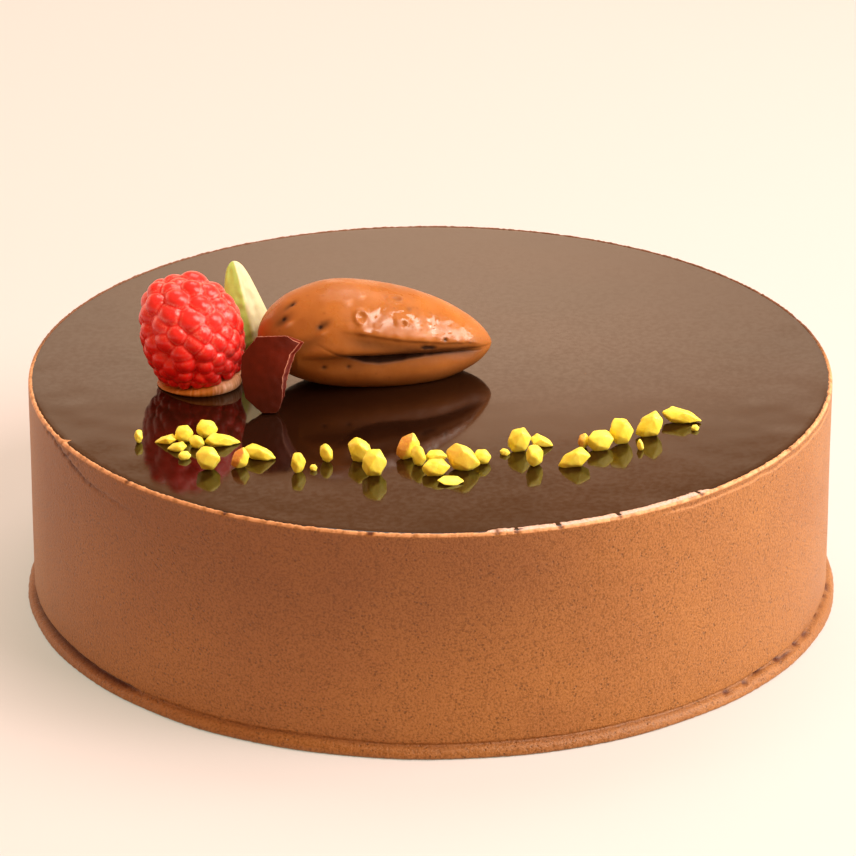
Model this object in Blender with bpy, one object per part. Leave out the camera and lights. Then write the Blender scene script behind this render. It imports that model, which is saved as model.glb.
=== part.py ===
"""Round chocolate mousse cake with a mirror glaze and its toppings.

The cake stands on the level plane z = 0 with its centre on the Z axis.
The row of chopped nuts lies on the -Y side of the top, which is the front.
Sizes are named in millimetres and turned into metres by MM.
"""
import math
import random

import bmesh
import bpy
from mathutils import Matrix, Vector

MM = 0.001
GAP = 0.3
TURN = 2.0 * math.pi
GOLDEN_ANGLE = math.radians(137.508)
SHARP_ANGLE = math.radians(35.0)

# Cake body
CAKE_RADIUS = 80.0
CAKE_HEIGHT = 46.0
CAKE_SEGMENTS = 96
LIP_WIDTH = 0.8
LIP_UNEVENNESS = 0.12

# Ledge of coat that is squeezed out round the foot, thin at the left of the back
FOOT_BULGE = 1.8
FOOT_HEIGHT = 2.6
FOOT_UNEVENNESS = 0.2
FOOT_THIN_AT = math.radians(155.0)
FOOT_THIN_SPREAD = math.radians(30.0)
FOOT_THIN_SHARE = 0.6

# Mirror glaze, poured inside the lip
GLAZE_THICKNESS = 1.5
GLAZE_BELOW_LIP = 0.2
GLAZE_TOP = CAKE_HEIGHT - GLAZE_BELOW_LIP
RECESS_FLOOR = GLAZE_TOP - GLAZE_THICKNESS - GAP
RESTING_LEVEL = GLAZE_TOP + GAP

# Chopped nuts, from left to right: x, y, width, height, turn in degrees, and how far
# the piece narrows to a point, where a minus sign puts the point on its left
NUTS_LEFT = (
    (-56.2, -36.7, 2.4, 2.4, 80, 0.3), (-51.0, -36.8, 4.2, 1.3, 0, -0.9), (-47.4, -36.2, 3.8, 2.7, 20, 0.0),
    (-45.0, -39.2, 3.0, 2.0, -20, 0.0), (-48.6, -40.3, 3.8, 1.3, 5, -0.6), (-43.0, -34.2, 4.4, 3.0, 15, 0.2),
    (-40.0, -37.9, 6.9, 2.1, 12, 0.8), (-47.0, -44.6, 2.7, 1.3, 20, 0.2), (-42.2, -49.6, 4.6, 3.8, 0, 0.0),
    (-36.2, -48.4, 3.9, 3.3, 30, -0.3), (-32.6, -44.6, 6.4, 2.6, -8, 0.85), (-25.1, -50.8, 3.0, 3.6, 30, 0.3),
    (-19.8, -45.9, 2.9, 3.2, -40, 0.4),
)
NUTS_MIDDLE = (
    (-13.3, -45.6, 4.7, 3.9, -20, 0.3), (-10.7, -52.4, 4.8, 4.4, 10, 0.0), (-4.2, -43.9, 4.8, 4.1, 25, -0.3),
    (-2.2, -47.5, 3.0, 3.4, -30, 0.2), (1.1, -45.8, 4.2, 1.8, 5, 0.0), (1.0, -52.0, 5.5, 2.6, 10, 0.0),
    (6.2, -49.6, 6.2, 4.4, -10, 0.4), (9.9, -46.7, 3.5, 2.4, 20, 0.2), (3.8, -55.8, 4.9, 0.9, 8, 0.3),
)
NUTS_RIGHT = (
    (17.0, -40.6, 4.8, 3.9, 15, -0.2), (21.4, -38.3, 4.7, 1.9, -12, 0.8), (19.8, -47.8, 4.1, 3.6, 60, 0.2),
    (27.3, -48.1, 6.2, 3.2, 12, -0.8), (29.4, -39.3, 2.6, 2.5, 40, 0.0), (32.8, -40.0, 5.2, 3.2, 15, 0.0),
    (36.8, -37.2, 5.0, 4.4, 20, 0.2), (42.3, -33.4, 5.6, 4.3, 20, -0.6), (49.0, -26.9, 8.2, 2.7, -3, 0.85),
)
NUT_DEEPEST = 3.6
NUT_DEPTH_SHARE = 0.75
NUT_CORNERS = 14
NUT_SUNK = 0.3
NUT_CUT = 1.25
NUT_SEED = 7

# Quenelle of mousse, blunt at its left end and pointed at its right
QUENELLE_LENGTH = 47.0
QUENELLE_RADIUS = 11.5
QUENELLE_FLATNESS = 0.94
QUENELLE_WIDEST_AT = 0.36
QUENELLE_BLUNT_END = (-34.0, -8.0, 56.0)
QUENELLE_YAW = math.radians(11.0)
QUENELLE_TIP_DROP = 4.6
CREASE_DEPTH = 2.3
CREASE_HEIGHT_ANGLE = math.radians(-20.0)
CREASE_WIDTH_ANGLE = math.radians(12.0)
CREASE_SHARP_SIDE = 0.7
CREASE_SLACK_SIDE = 1.5
CREASE_START = 0.14
CREASE_CROWDING = 0.6
QUENELLE_STATIONS = 34
QUENELLE_SIDES = 36

# Raspberry, standing on its open end and leaning a little to the left
BERRY_FOOT = (-45.5, -6.8, 48.2)
BERRY_LEAN = math.radians(-9.0)
BERRY_HEIGHT = 19.9
BERRY_WIDEST = 9.3
BERRY_FOOT_RADIUS = 7.0
DRUPELET_RADIUS = 2.45
DRUPELET_RISE = 1.3
DRUPELET_COUNT = 76
BERRY_SIDES = 58
BERRY_ROWS = 28
BERRY_SEED = 3

# Dab of mousse that holds the raspberry
DAB_RADIUS = 8.6
DAB_SEGMENTS = 32

# Thin shard of dark chocolate that leans on the quenelle
SHARD_FOOT = (-31.6, -23.4, RESTING_LEVEL)
SHARD_THICKNESS = 1.1
SHARD_HEIGHT = 15.0
SHARD_LEAN = math.radians(19.0)
SHARD_YAW = math.radians(4.0)
SHARD_BEND = 0.7
SHARD_LEFT_EDGE = ((0.0, -1.2), (0.2, -4.4), (0.5, -5.2), (0.75, -4.9), (1.0, -1.8))
SHARD_RIGHT_EDGE = ((0.0, 1.3), (0.2, 2.7), (0.5, 3.4), (0.75, 4.9), (0.9, 7.3), (1.0, 4.2))
SHARD_ROWS = 12
SHARD_COLUMNS = 6

# Half of a peeled pistachio kernel, on end behind the raspberry
KERNEL_FOOT = (-34.6, 4.9, RESTING_LEVEL)
KERNEL_TOP = (-39.6, 7.4, 66.0)
KERNEL_WIDTH = 9.0
KERNEL_WIDEST_AT = 0.36
KERNEL_THICKNESS = 4.6
KERNEL_FACE_TURN = math.radians(-38.0)
KERNEL_STATIONS = 16
KERNEL_SIDES = 14


def clear_scene():
    for obj in list(bpy.data.objects):
        bpy.data.objects.remove(obj, do_unlink=True)


def finish_material(name, colour, roughness):
    """A plain Principled surface in this colour."""
    material = bpy.data.materials.new(name)
    material.use_nodes = True
    shader = material.node_tree.nodes["Principled BSDF"]
    shader.inputs["Base Color"].default_value = (*colour, 1.0)
    shader.inputs["Roughness"].default_value = roughness
    shader.inputs["Metallic"].default_value = 0.0
    material.diffuse_color = (*colour, 1.0)
    return material


def add_object(name, bm, material, parent):
    """Turn a closed bmesh in millimetres into a named object in metres."""
    bmesh.ops.recalc_face_normals(bm, faces=bm.faces)
    bmesh.ops.scale(bm, vec=(MM, MM, MM), verts=bm.verts)
    mesh = bpy.data.meshes.new(name)
    bm.to_mesh(mesh)
    bm.free()
    mesh.shade_smooth()
    mesh.set_sharp_from_angle(angle=SHARP_ANGLE)
    mesh.materials.append(material)
    obj = bpy.data.objects.new(name, mesh)
    bpy.context.scene.collection.objects.link(obj)
    obj.parent = parent
    return obj


def waves(seed, counts):
    """A repeatable gentle unevenness of an angle, between about -1 and 1."""
    rng = random.Random(seed)
    terms = [(count, rng.uniform(0.0, TURN)) for count in counts]
    return lambda angle: sum(math.sin(count * angle + phase) for count, phase in terms) / len(terms)


def through(points, at):
    """Straight-line reading of a short list of (position, value) pairs."""
    for (start, low), (end, high) in zip(points, points[1:]):
        if at <= end:
            return low + (high - low) * (at - start) / (end - start)
    return points[-1][1]


def grid_solid(rows):
    """Close a stack of point rows, whose first and last hold a single point, into a solid."""
    bm = bmesh.new()
    rings = [[bm.verts.new(point) for point in row] for row in rows]
    for low, high in zip(rings, rings[1:]):
        count = max(len(low), len(high))
        for i in range(count):
            j = (i + 1) % count
            corners = []
            for vert in (low[i % len(low)], low[j % len(low)], high[j % len(high)], high[i % len(high)]):
                if vert not in corners:
                    corners.append(vert)
            bm.faces.new(corners)
    bmesh.ops.triangulate(bm, faces=bm.faces)
    return bm


def spun_solid(profile, segments):
    """Spin a profile of (radius, height) pairs that starts and ends on the axis."""
    rows = []
    for radius, height in profile:
        if radius == 0.0:
            rows.append([Vector((0.0, 0.0, height))])
            continue
        rows.append([
            Vector((radius * math.cos(TURN * i / segments), radius * math.sin(TURN * i / segments), height))
            for i in range(segments)
        ])
    return grid_solid(rows)


def foot_share(angle):
    """How much of the full ledge stands out at this angle."""
    aside = (angle - FOOT_THIN_AT + math.pi) % TURN - math.pi
    return 1.0 - FOOT_THIN_SHARE * math.exp(-((aside / FOOT_THIN_SPREAD) ** 2))


def make_cake_body(parent):
    """The coated cake: straight side, bulging foot and a thin lip round a shallow recess."""
    inner = CAKE_RADIUS - LIP_WIDTH
    foot_edge = CAKE_RADIUS + FOOT_BULGE
    lip_start = CAKE_HEIGHT - LIP_WIDTH
    profile = [
        (0.0, 0.0),
        (0.5 * CAKE_RADIUS, 0.0),
        (foot_edge - 0.9, 0.0),
        (foot_edge - 0.2, 0.2 * FOOT_HEIGHT),
        (foot_edge, 0.4 * FOOT_HEIGHT),
        (foot_edge - 0.3 * FOOT_BULGE, 0.65 * FOOT_HEIGHT),
        (foot_edge - 0.8 * FOOT_BULGE, 0.85 * FOOT_HEIGHT),
        (CAKE_RADIUS - 0.1, FOOT_HEIGHT),
        (CAKE_RADIUS, 1.3 * FOOT_HEIGHT),
        (CAKE_RADIUS, 0.5 * CAKE_HEIGHT),
        (CAKE_RADIUS, lip_start),
        (CAKE_RADIUS - 0.15, CAKE_HEIGHT - 0.2),
        (CAKE_RADIUS - 0.5 * LIP_WIDTH, CAKE_HEIGHT),
        (inner, CAKE_HEIGHT - GLAZE_BELOW_LIP),
        (inner, RECESS_FLOOR),
        (0.0, RECESS_FLOOR),
    ]
    bm = spun_solid(profile, CAKE_SEGMENTS)
    lip_waves = waves(11, (5, 9, 17, 31))
    foot_waves = waves(12, (4, 7, 13, 23))
    for vert in bm.verts:
        x, y, z = vert.co
        radius = math.hypot(x, y)
        angle = math.atan2(y, x)
        if radius > CAKE_RADIUS and z < FOOT_HEIGHT:
            ledge = foot_share(angle) + FOOT_UNEVENNESS * foot_waves(angle)
            grow = (CAKE_RADIUS + (radius - CAKE_RADIUS) * ledge) / radius
            vert.co.x = x * grow
            vert.co.y = y * grow
        if z > CAKE_HEIGHT - 0.3 and radius > inner + 0.1:
            vert.co.z = z + LIP_UNEVENNESS * (lip_waves(angle) - 1.0)
    return add_object("cake_body", bm, finish_material("mousse_coat", (0.36, 0.15, 0.055), 0.6), parent)


def nut_solid(nut, rng):
    """One chopped piece: a faceted pebble with a flat underside, placed on the glaze."""
    x, y, width, height, turn, point = nut
    depth = min(NUT_DEPTH_SHARE * width, NUT_DEEPEST)
    bm = bmesh.new()
    for i in range(NUT_CORNERS):
        level = 1.0 - 2.0 * (i + 0.5) / NUT_CORNERS
        ring = math.sqrt(1.0 - level * level)
        corner = Vector((ring * math.cos(i * GOLDEN_ANGLE), ring * math.sin(i * GOLDEN_ANGLE), level))
        corner *= rng.uniform(0.84, 1.04)
        narrow = 1.0 - abs(point) * max(corner.x * math.copysign(1.0, point), 0.0)
        rise = 0.5 * (min(max(NUT_CUT * corner.z, -1.0), 1.0) + 1.0) * narrow * (height + NUT_SUNK)
        bm.verts.new((corner.x * width * 0.5, corner.y * narrow * depth * 0.5, rise - NUT_SUNK))
    hull = bmesh.ops.convex_hull(bm, input=bm.verts)
    bmesh.ops.delete(bm, geom=hull["geom_interior"] + hull["geom_unused"], context="VERTS")
    place = Matrix.Translation((x, y, GLAZE_TOP)) @ Matrix.Rotation(math.radians(turn), 4, "Z")
    bmesh.ops.transform(bm, matrix=place, verts=bm.verts)
    return bm


def make_glaze(parent):
    """The mirror glaze, with the chopped nuts joined to its top."""
    edge = CAKE_RADIUS - LIP_WIDTH - GAP
    floor = RECESS_FLOOR + GAP
    profile = [
        (0.0, floor),
        (edge, floor),
        (edge, GLAZE_TOP - 0.25),
        (edge - 0.35, GLAZE_TOP),
        (0.8 * edge, GLAZE_TOP),
        (0.4 * edge, GLAZE_TOP),
        (0.0, GLAZE_TOP),
    ]
    material = finish_material("mirror_glaze", (0.045, 0.014, 0.006), 0.06)
    glaze = add_object("glaze", spun_solid(profile, CAKE_SEGMENTS), material, parent)
    rng = random.Random(NUT_SEED)
    nuts = bpy.data.collections.new("chopped_nuts")
    bpy.context.scene.collection.children.link(nuts)
    for number, nut in enumerate(NUTS_LEFT + NUTS_MIDDLE + NUTS_RIGHT):
        piece = add_object(f"nut_{number:02d}", nut_solid(nut, rng), material, None)
        bpy.context.scene.collection.objects.unlink(piece)
        nuts.objects.link(piece)
    union = glaze.modifiers.new("join_nuts", "BOOLEAN")
    union.operation = "UNION"
    union.operand_type = "COLLECTION"
    union.collection = nuts
    union.solver = "EXACT"
    joined = bpy.data.meshes.new_from_object(glaze.evaluated_get(bpy.context.evaluated_depsgraph_get()))
    glaze.modifiers.remove(union)
    joined.set_sharp_from_angle(angle=SHARP_ANGLE)
    glaze.data = joined
    for piece in list(nuts.objects):
        bpy.data.objects.remove(piece, do_unlink=True)
    bpy.data.collections.remove(nuts)
    return glaze


def quenelle_radius(along):
    """Share of the greatest radius at this share of the length, blunt left and pointed right."""
    if along < QUENELLE_WIDEST_AT:
        back = 1.0 - along / QUENELLE_WIDEST_AT
        return (1.0 - back ** 1.9) ** 0.54
    onward = (along - QUENELLE_WIDEST_AT) / (1.0 - QUENELLE_WIDEST_AT)
    return (1.0 - onward ** 2.3) ** 0.64


def quenelle_point(along, round_share):
    """A point of the quenelle, along its length and round its section from the crease."""
    radius = QUENELLE_RADIUS * quenelle_radius(along)
    turned = TURN * (round_share - 0.5)
    aside = turned - CREASE_CROWDING * math.sin(turned)
    angle = CREASE_HEIGHT_ANGLE * (1.0 - along) + aside
    spread = CREASE_WIDTH_ANGLE * (CREASE_SHARP_SIDE if aside > 0.0 else CREASE_SLACK_SIDE)
    groove = math.exp(-((aside / spread) ** 2))
    fade = math.sin(math.pi * min(max((along - CREASE_START) / (1.0 - CREASE_START), 0.0), 1.0) ** 0.8)
    radius -= CREASE_DEPTH * groove * fade
    out = -radius * math.cos(angle)
    up = radius * QUENELLE_FLATNESS * math.sin(angle)
    start = Vector(QUENELLE_BLUNT_END)
    course = along * QUENELLE_LENGTH
    drop = QUENELLE_TIP_DROP * max(along - 0.35, 0.0) / 0.65
    point = Vector((
        start.x + course * math.cos(QUENELLE_YAW) - out * math.sin(QUENELLE_YAW),
        start.y + course * math.sin(QUENELLE_YAW) + out * math.cos(QUENELLE_YAW),
        start.z + up - drop,
    ))
    point.z = max(point.z, RESTING_LEVEL)
    return point


def make_quenelle(parent):
    """Spoon-shaped oval of mousse with a long crease along its front."""
    rows = [[quenelle_point(0.0, 0.0)]]
    for i in range(1, QUENELLE_STATIONS):
        along = 0.5 - 0.5 * math.cos(math.pi * i / QUENELLE_STATIONS)
        rows.append([quenelle_point(along, j / QUENELLE_SIDES) for j in range(QUENELLE_SIDES)])
    rows.append([quenelle_point(1.0, 0.0)])
    material = finish_material("mousse", (0.42, 0.16, 0.06), 0.35)
    return add_object("quenelle", grid_solid(rows), material, parent)


def berry_core_radius(height):
    """Radius of the raspberry under its drupelets, from its open foot to its round top."""
    share = min(max(height / BERRY_HEIGHT, 0.0), 1.0)
    widest_at = 0.42
    if share < widest_at:
        drop = (widest_at - share) / widest_at
        return BERRY_WIDEST - (BERRY_WIDEST - BERRY_FOOT_RADIUS) * drop ** 2.0
    return BERRY_WIDEST * math.sqrt(max(1.0 - ((share - widest_at) / (1.0 - widest_at)) ** 2.3, 0.0))


def drupelet_places():
    """Centres and radii of the drupelets, wound upwards round the core, finer near the foot."""
    rng = random.Random(BERRY_SEED)
    places = []
    for i in range(DRUPELET_COUNT):
        share = (i + 0.5) / DRUPELET_COUNT
        height = BERRY_HEIGHT * (1.0 - (1.0 - share) ** 0.72)
        size = DRUPELET_RADIUS * (0.72 + 0.28 * min(share / 0.45, 1.0)) * rng.uniform(0.94, 1.06)
        radius = max(berry_core_radius(height) - size + DRUPELET_RISE, 0.0)
        angle = i * GOLDEN_ANGLE + rng.uniform(-0.12, 0.12)
        top = BERRY_HEIGHT - size + 0.2
        places.append((Vector((radius * math.cos(angle), radius * math.sin(angle), min(height, top))), size))
    return places


def make_raspberry(parent):
    """Raspberry as one solid: the outermost reach of all its drupelets from its middle."""
    middle = Vector((0.0, 0.0, 0.42 * BERRY_HEIGHT))
    drupelets = drupelet_places()

    def reach(direction):
        """Distance from the middle to the surface in this direction."""
        far = 0.0
        for centre, size in drupelets:
            offset = centre - middle
            along = offset.dot(direction)
            inside = size * size - (offset.length_squared - along * along)
            if inside > 0.0:
                far = max(far, along + math.sqrt(inside))
        core = 0.5 * BERRY_WIDEST
        while berry_core_radius(middle.z + core * direction.z) - 0.4 > core * math.hypot(direction.x, direction.y):
            core += 0.2
            if middle.z + core * direction.z > BERRY_HEIGHT - 0.8 or middle.z + core * direction.z < 0.0:
                break
        return max(far, core)

    rows = []
    for i in range(BERRY_ROWS + 1):
        polar = math.pi * i / BERRY_ROWS
        sides = 1 if i in (0, BERRY_ROWS) else BERRY_SIDES
        row = []
        for j in range(sides):
            angle = TURN * j / BERRY_SIDES
            direction = Vector((math.sin(polar) * math.cos(angle), math.sin(polar) * math.sin(angle), -math.cos(polar)))
            point = middle + reach(direction) * direction
            point.z = max(point.z, 0.0)
            row.append(point)
        rows.append(row)
    material = finish_material("raspberry_skin", (0.72, 0.03, 0.025), 0.3)
    berry = add_object("raspberry", grid_solid(rows), material, parent)
    berry.location = Vector(BERRY_FOOT) * MM
    berry.rotation_euler = (0.0, BERRY_LEAN, 0.0)
    return berry


def make_mousse_dab(parent):
    """Low uneven pad of mousse whose top follows the leaning foot of the raspberry."""
    x, y, z = BERRY_FOOT
    edge_waves = waves(21, (2, 3, 5))
    heights = (0.0, 0.0, 0.35, 0.8, 1.0, 1.0)
    shares = (0.0, 0.94, 1.0, 1.0, 0.93, 0.0)
    rows = []
    for share, height in zip(shares, heights):
        row = []
        for i in range(DAB_SEGMENTS if share else 1):
            angle = TURN * i / DAB_SEGMENTS
            radius = DAB_RADIUS * share * (1.0 + 0.03 * edge_waves(angle))
            across = radius * math.cos(angle)
            top = z - GAP - 0.1 - across * math.tan(BERRY_LEAN)
            level = RESTING_LEVEL + height * (top - RESTING_LEVEL)
            row.append(Vector((x + across, y + radius * math.sin(angle), level)))
        rows.append(row)
    material = finish_material("mousse_dab", (0.45, 0.17, 0.04), 0.5)
    return add_object("mousse_dab", grid_solid(rows), material, parent)


def make_chocolate_shard(parent):
    """Broken thin plate with a slanted left side, a sweeping right side and a slight bend."""
    bm = bmesh.new()
    faces = []
    for side in (0.0, SHARD_THICKNESS):
        sheet = []
        for i in range(SHARD_ROWS + 1):
            share = i / SHARD_ROWS
            left = through(SHARD_LEFT_EDGE, share)
            right = through(SHARD_RIGHT_EDGE, share)
            row = []
            for j in range(SHARD_COLUMNS + 1):
                across = left + (right - left) * j / SHARD_COLUMNS
                bow = SHARD_BEND * (across / 5.0) ** 2
                row.append(bm.verts.new((across, side + bow, share * SHARD_HEIGHT)))
            sheet.append(row)
        faces.append(sheet)
    front, back = faces
    for sheet in faces:
        for low, high in zip(sheet, sheet[1:]):
            for j in range(SHARD_COLUMNS):
                bm.faces.new((low[j], low[j + 1], high[j + 1], high[j]))
    edge_pairs = [
        [(front[i][0], back[i][0]) for i in range(SHARD_ROWS + 1)],
        [(front[i][-1], back[i][-1]) for i in range(SHARD_ROWS + 1)],
        list(zip(front[0], back[0])),
        list(zip(front[-1], back[-1])),
    ]
    for pairs in edge_pairs:
        for (a, b), (c, d) in zip(pairs, pairs[1:]):
            bm.faces.new((a, b, d, c))
    bmesh.ops.triangulate(bm, faces=bm.faces)
    material = finish_material("dark_chocolate", (0.05, 0.008, 0.004), 0.3)
    shard = add_object("chocolate_shard", bm, material, parent)
    heel_drop = 1.1 * SHARD_THICKNESS * math.sin(SHARD_LEAN)
    shard.location = (Vector(SHARD_FOOT) + Vector((0.0, 0.0, heel_drop))) * MM
    shard.rotation_euler = (-SHARD_LEAN, 0.0, SHARD_YAW)
    return shard


def kernel_width_share(share):
    """Share of the greatest width at this share of the kernel's length, narrow at the top."""
    if share < KERNEL_WIDEST_AT:
        return math.sqrt(1.0 - (1.0 - share / KERNEL_WIDEST_AT) ** 2)
    return (1.0 - ((share - KERNEL_WIDEST_AT) / (1.0 - KERNEL_WIDEST_AT)) ** 1.5) ** 0.7


def make_pistachio_half(parent):
    """Half kernel on end: flat cut face towards the right, domed face towards the left."""
    foot = Vector(KERNEL_FOOT)
    axis = Vector(KERNEL_TOP) - foot
    length = axis.length
    rows = []
    for i in range(KERNEL_STATIONS + 1):
        share = 0.5 - 0.5 * math.cos(math.pi * i / KERNEL_STATIONS)
        swell = kernel_width_share(share)
        row = []
        for j in range(KERNEL_SIDES if swell else 1):
            angle = TURN * j / KERNEL_SIDES
            out = math.sin(angle)
            thick = KERNEL_THICKNESS if out > 0.0 else 0.12 * KERNEL_THICKNESS
            row.append(Vector((0.5 * KERNEL_WIDTH * swell * math.cos(angle), thick * swell * out, share * length)))
        rows.append(row)
    material = finish_material("pistachio", (0.7, 0.68, 0.3), 0.55)
    kernel = add_object("pistachio_half", grid_solid(rows), material, parent)
    kernel.location = foot * MM
    upright = axis.to_track_quat("Z", "Y").to_matrix().to_4x4()
    kernel.rotation_euler = (upright @ Matrix.Rotation(math.pi + KERNEL_FACE_TURN, 4, "Z")).to_euler()
    return kernel


def main():
    clear_scene()
    cake = bpy.data.objects.new("cake", None)
    bpy.context.scene.collection.objects.link(cake)
    make_cake_body(cake)
    make_glaze(cake)
    make_quenelle(cake)
    make_mousse_dab(cake)
    make_raspberry(cake)
    make_chocolate_shard(cake)
    make_pistachio_half(cake)


main()
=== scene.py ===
"""Looks of a round chocolate mousse cake with a mirror glaze and its toppings.

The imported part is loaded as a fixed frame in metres, with +Z up and the chopped nuts on
the -Y side of the top. Every piece that shows is modelled here in the place of its solid.
Sizes are named in millimetres and turned into metres by MM.
"""

import math
import random

import bmesh
import bpy
from bpy.props import FloatProperty, FloatVectorProperty, IntProperty, PointerProperty
from mathutils import Matrix, Vector, noise


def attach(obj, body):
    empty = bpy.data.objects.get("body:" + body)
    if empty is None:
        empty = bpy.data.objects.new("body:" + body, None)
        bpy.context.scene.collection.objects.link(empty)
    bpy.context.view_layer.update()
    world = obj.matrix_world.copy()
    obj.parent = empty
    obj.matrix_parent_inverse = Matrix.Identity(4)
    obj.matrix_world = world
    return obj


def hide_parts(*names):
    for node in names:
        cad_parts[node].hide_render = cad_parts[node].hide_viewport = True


bl_info = {
    "name": "Chocolate Cake Looks",
    "version": (1, 0, 0),
    "blender": (4, 5, 0),
    "location": "View3D > Sidebar > Cake",
    "description": "Models and finishes a glazed chocolate mousse cake round its packed frame",
    "category": "Object",
}

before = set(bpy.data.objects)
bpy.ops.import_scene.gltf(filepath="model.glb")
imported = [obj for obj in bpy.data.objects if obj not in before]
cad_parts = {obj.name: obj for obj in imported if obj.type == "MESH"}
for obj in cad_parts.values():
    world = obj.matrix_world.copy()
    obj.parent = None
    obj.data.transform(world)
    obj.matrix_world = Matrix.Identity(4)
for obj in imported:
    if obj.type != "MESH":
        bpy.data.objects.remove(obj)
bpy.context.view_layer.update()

MM = 0.001
TURN = 2.0 * math.pi
GOLDEN_ANGLE = math.radians(137.508)
BODY = "root"

# Cake body, as in the part's source
CAKE_RADIUS = 80.0
CAKE_HEIGHT = 46.0
LIP_WIDTH = 0.8
GLAZE_TOP = 45.8
RECESS_FLOOR = 44.0
GLAZE_FLOOR = 44.3
TOUCHING_LEVEL = GLAZE_TOP + 0.02

# Ledge round the foot
FOOT_BULGE = 1.7
FOOT_HEIGHT = 2.4
FOOT_ZONE = 1.6 * FOOT_HEIGHT
MARKED_FROM = 36.5
FOOT_THIN_AT = math.radians(155.0)
FOOT_THIN_SPREAD = math.radians(30.0)
FOOT_THIN_SHARE = 0.6
# Along the crack the crease over the ledge is deeper; it and the pits get painted shade.
FOOT_CRACK_ANGLES = (190.0, 222.0)
FOOT_PIT_ANGLES = (315.0, 357.0)
FOOT_PIT_COUNT = 12
FOOT_PIT_SEED = 31
FOOT_TALLER_ANGLES = (312.0, 360.0)

# Nicks of the rim, with painted shade in them: angle in degrees, half width in degrees, depth
RIM_NICKS = (
    (241.2, 0.5, 0.35), (279.0, 0.5, 0.3), (281.6, 0.4, 0.3), (287.6, 0.35, 0.4), (296.4, 0.3, 0.45),
    (309.8, 0.4, 0.35), (224.0, 0.4, 0.25), (262.0, 0.5, 0.2), (330.0, 0.3, 0.25), (20.0, 0.5, 0.3),
)
RIM_FLICK_ANGLE = 207.3
# Between these angles in degrees: the lip's painted gleam, the ridge with its painted highlight and shade, the lip's
# painted shade at the back, and painted shade higher up the side on the front left.
RIM_GLEAM_ANGLES = (279.0, 310.0)
RIM_RIDGE_ANGLES = (306.0, 346.0)
RIM_SHADED_BACK_ANGLES = (14.0, 166.0)
SIDE_PAINTED_SHADE_ANGLES = (205.0, 276.0)

# Edge of a smoothed patch under the rim: angle in degrees and height
PATCH_EDGE = ((203.0, 45.2), (206.0, 44.4), (214.2, 41.5), (222.5, 40.3), (235.6, 38.5), (243.0, 38.0))
# The fold along the patch edge and the small dents near it get painted shade.
PATCH_ANGLES = (204.0, 221.0)
PATCH_DENT_ANGLES = (203.0, 213.0)

# Chopped nuts: x, y, width, height, turn in degrees, narrowing to a point
NUTS_LEFT = (
    (-56.2, -36.7, 2.4, 2.4, 80, 0.3), (-51.0, -36.8, 4.2, 1.3, 0, -0.9), (-47.4, -36.2, 3.8, 2.7, 20, 0.0),
    (-45.0, -39.2, 3.0, 2.0, -20, 0.0), (-48.6, -40.3, 3.8, 1.3, 5, -0.6), (-43.0, -34.2, 4.4, 3.0, 15, 0.2),
    (-40.0, -37.9, 6.9, 2.1, 12, 0.8), (-47.0, -44.6, 2.7, 1.3, 20, 0.2), (-42.2, -49.6, 4.6, 3.8, 0, 0.0),
    (-36.2, -48.4, 3.9, 3.3, 30, -0.3), (-32.6, -44.6, 6.4, 2.6, -8, 0.85), (-25.1, -50.8, 3.0, 3.6, 30, 0.3),
    (-19.8, -45.9, 2.9, 3.2, -40, 0.4),
)
NUTS_MIDDLE = (
    (-13.3, -45.6, 4.7, 3.9, -20, 0.3), (-10.7, -52.4, 4.8, 4.4, 10, 0.0), (-4.2, -43.9, 4.8, 4.1, 25, -0.3),
    (-2.2, -47.5, 3.0, 3.4, -30, 0.2), (1.1, -45.8, 4.2, 1.8, 5, 0.0), (1.0, -52.0, 5.5, 2.6, 10, 0.0),
    (6.2, -49.6, 6.2, 4.4, -10, 0.4), (9.9, -46.7, 3.5, 2.4, 20, 0.2), (3.8, -55.8, 4.9, 0.9, 8, 0.3),
)
NUTS_RIGHT = (
    (17.0, -40.6, 4.8, 3.9, 15, -0.2), (21.4, -38.3, 4.7, 1.9, -12, 0.8), (19.8, -47.8, 4.1, 3.6, 60, 0.2),
    (27.3, -48.1, 6.2, 3.2, 12, -0.8), (29.4, -39.3, 2.6, 2.5, 40, 0.0), (32.8, -40.0, 5.2, 3.2, 15, 0.0),
    (36.8, -37.2, 5.0, 4.4, 20, 0.2), (42.3, -33.4, 5.6, 4.3, 20, -0.6), (49.0, -26.9, 8.2, 2.7, -3, 0.85),
)
NUT_CRUMBS = (
    (-22.2, -50.0, 1.5, 0.9, 10, 0.0), (14.3, -42.5, 1.9, 0.9, 0, 0.2),
    (40.3, -40.2, 1.7, 1.8, -50, 0.4), (51.3, -30.7, 1.7, 0.8, 20, 0.0),
)
NUT_DEEPEST = 3.6
NUT_DEPTH_SHARE = 0.75
NUT_CORNERS = 14
NUT_SUNK = 0.3
NUT_CUT = 1.25
NUT_SEED = 7
NUT_PLUMPNESS = 1.2
NUTS_WITH_SKIN = {9: 1.0, 15: 0.9, 19: 0.45, 26: 0.8}
PALE_NUTS = (0, 7, 21)
FIRST_CRUMB = len(NUTS_LEFT + NUTS_MIDDLE + NUTS_RIGHT)
# Painted shade in the nuts' pores, as shares of the flesh colour.
NUT_PORE_SHADE_SHARES = (0.82, 0.88, 0.7)

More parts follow.
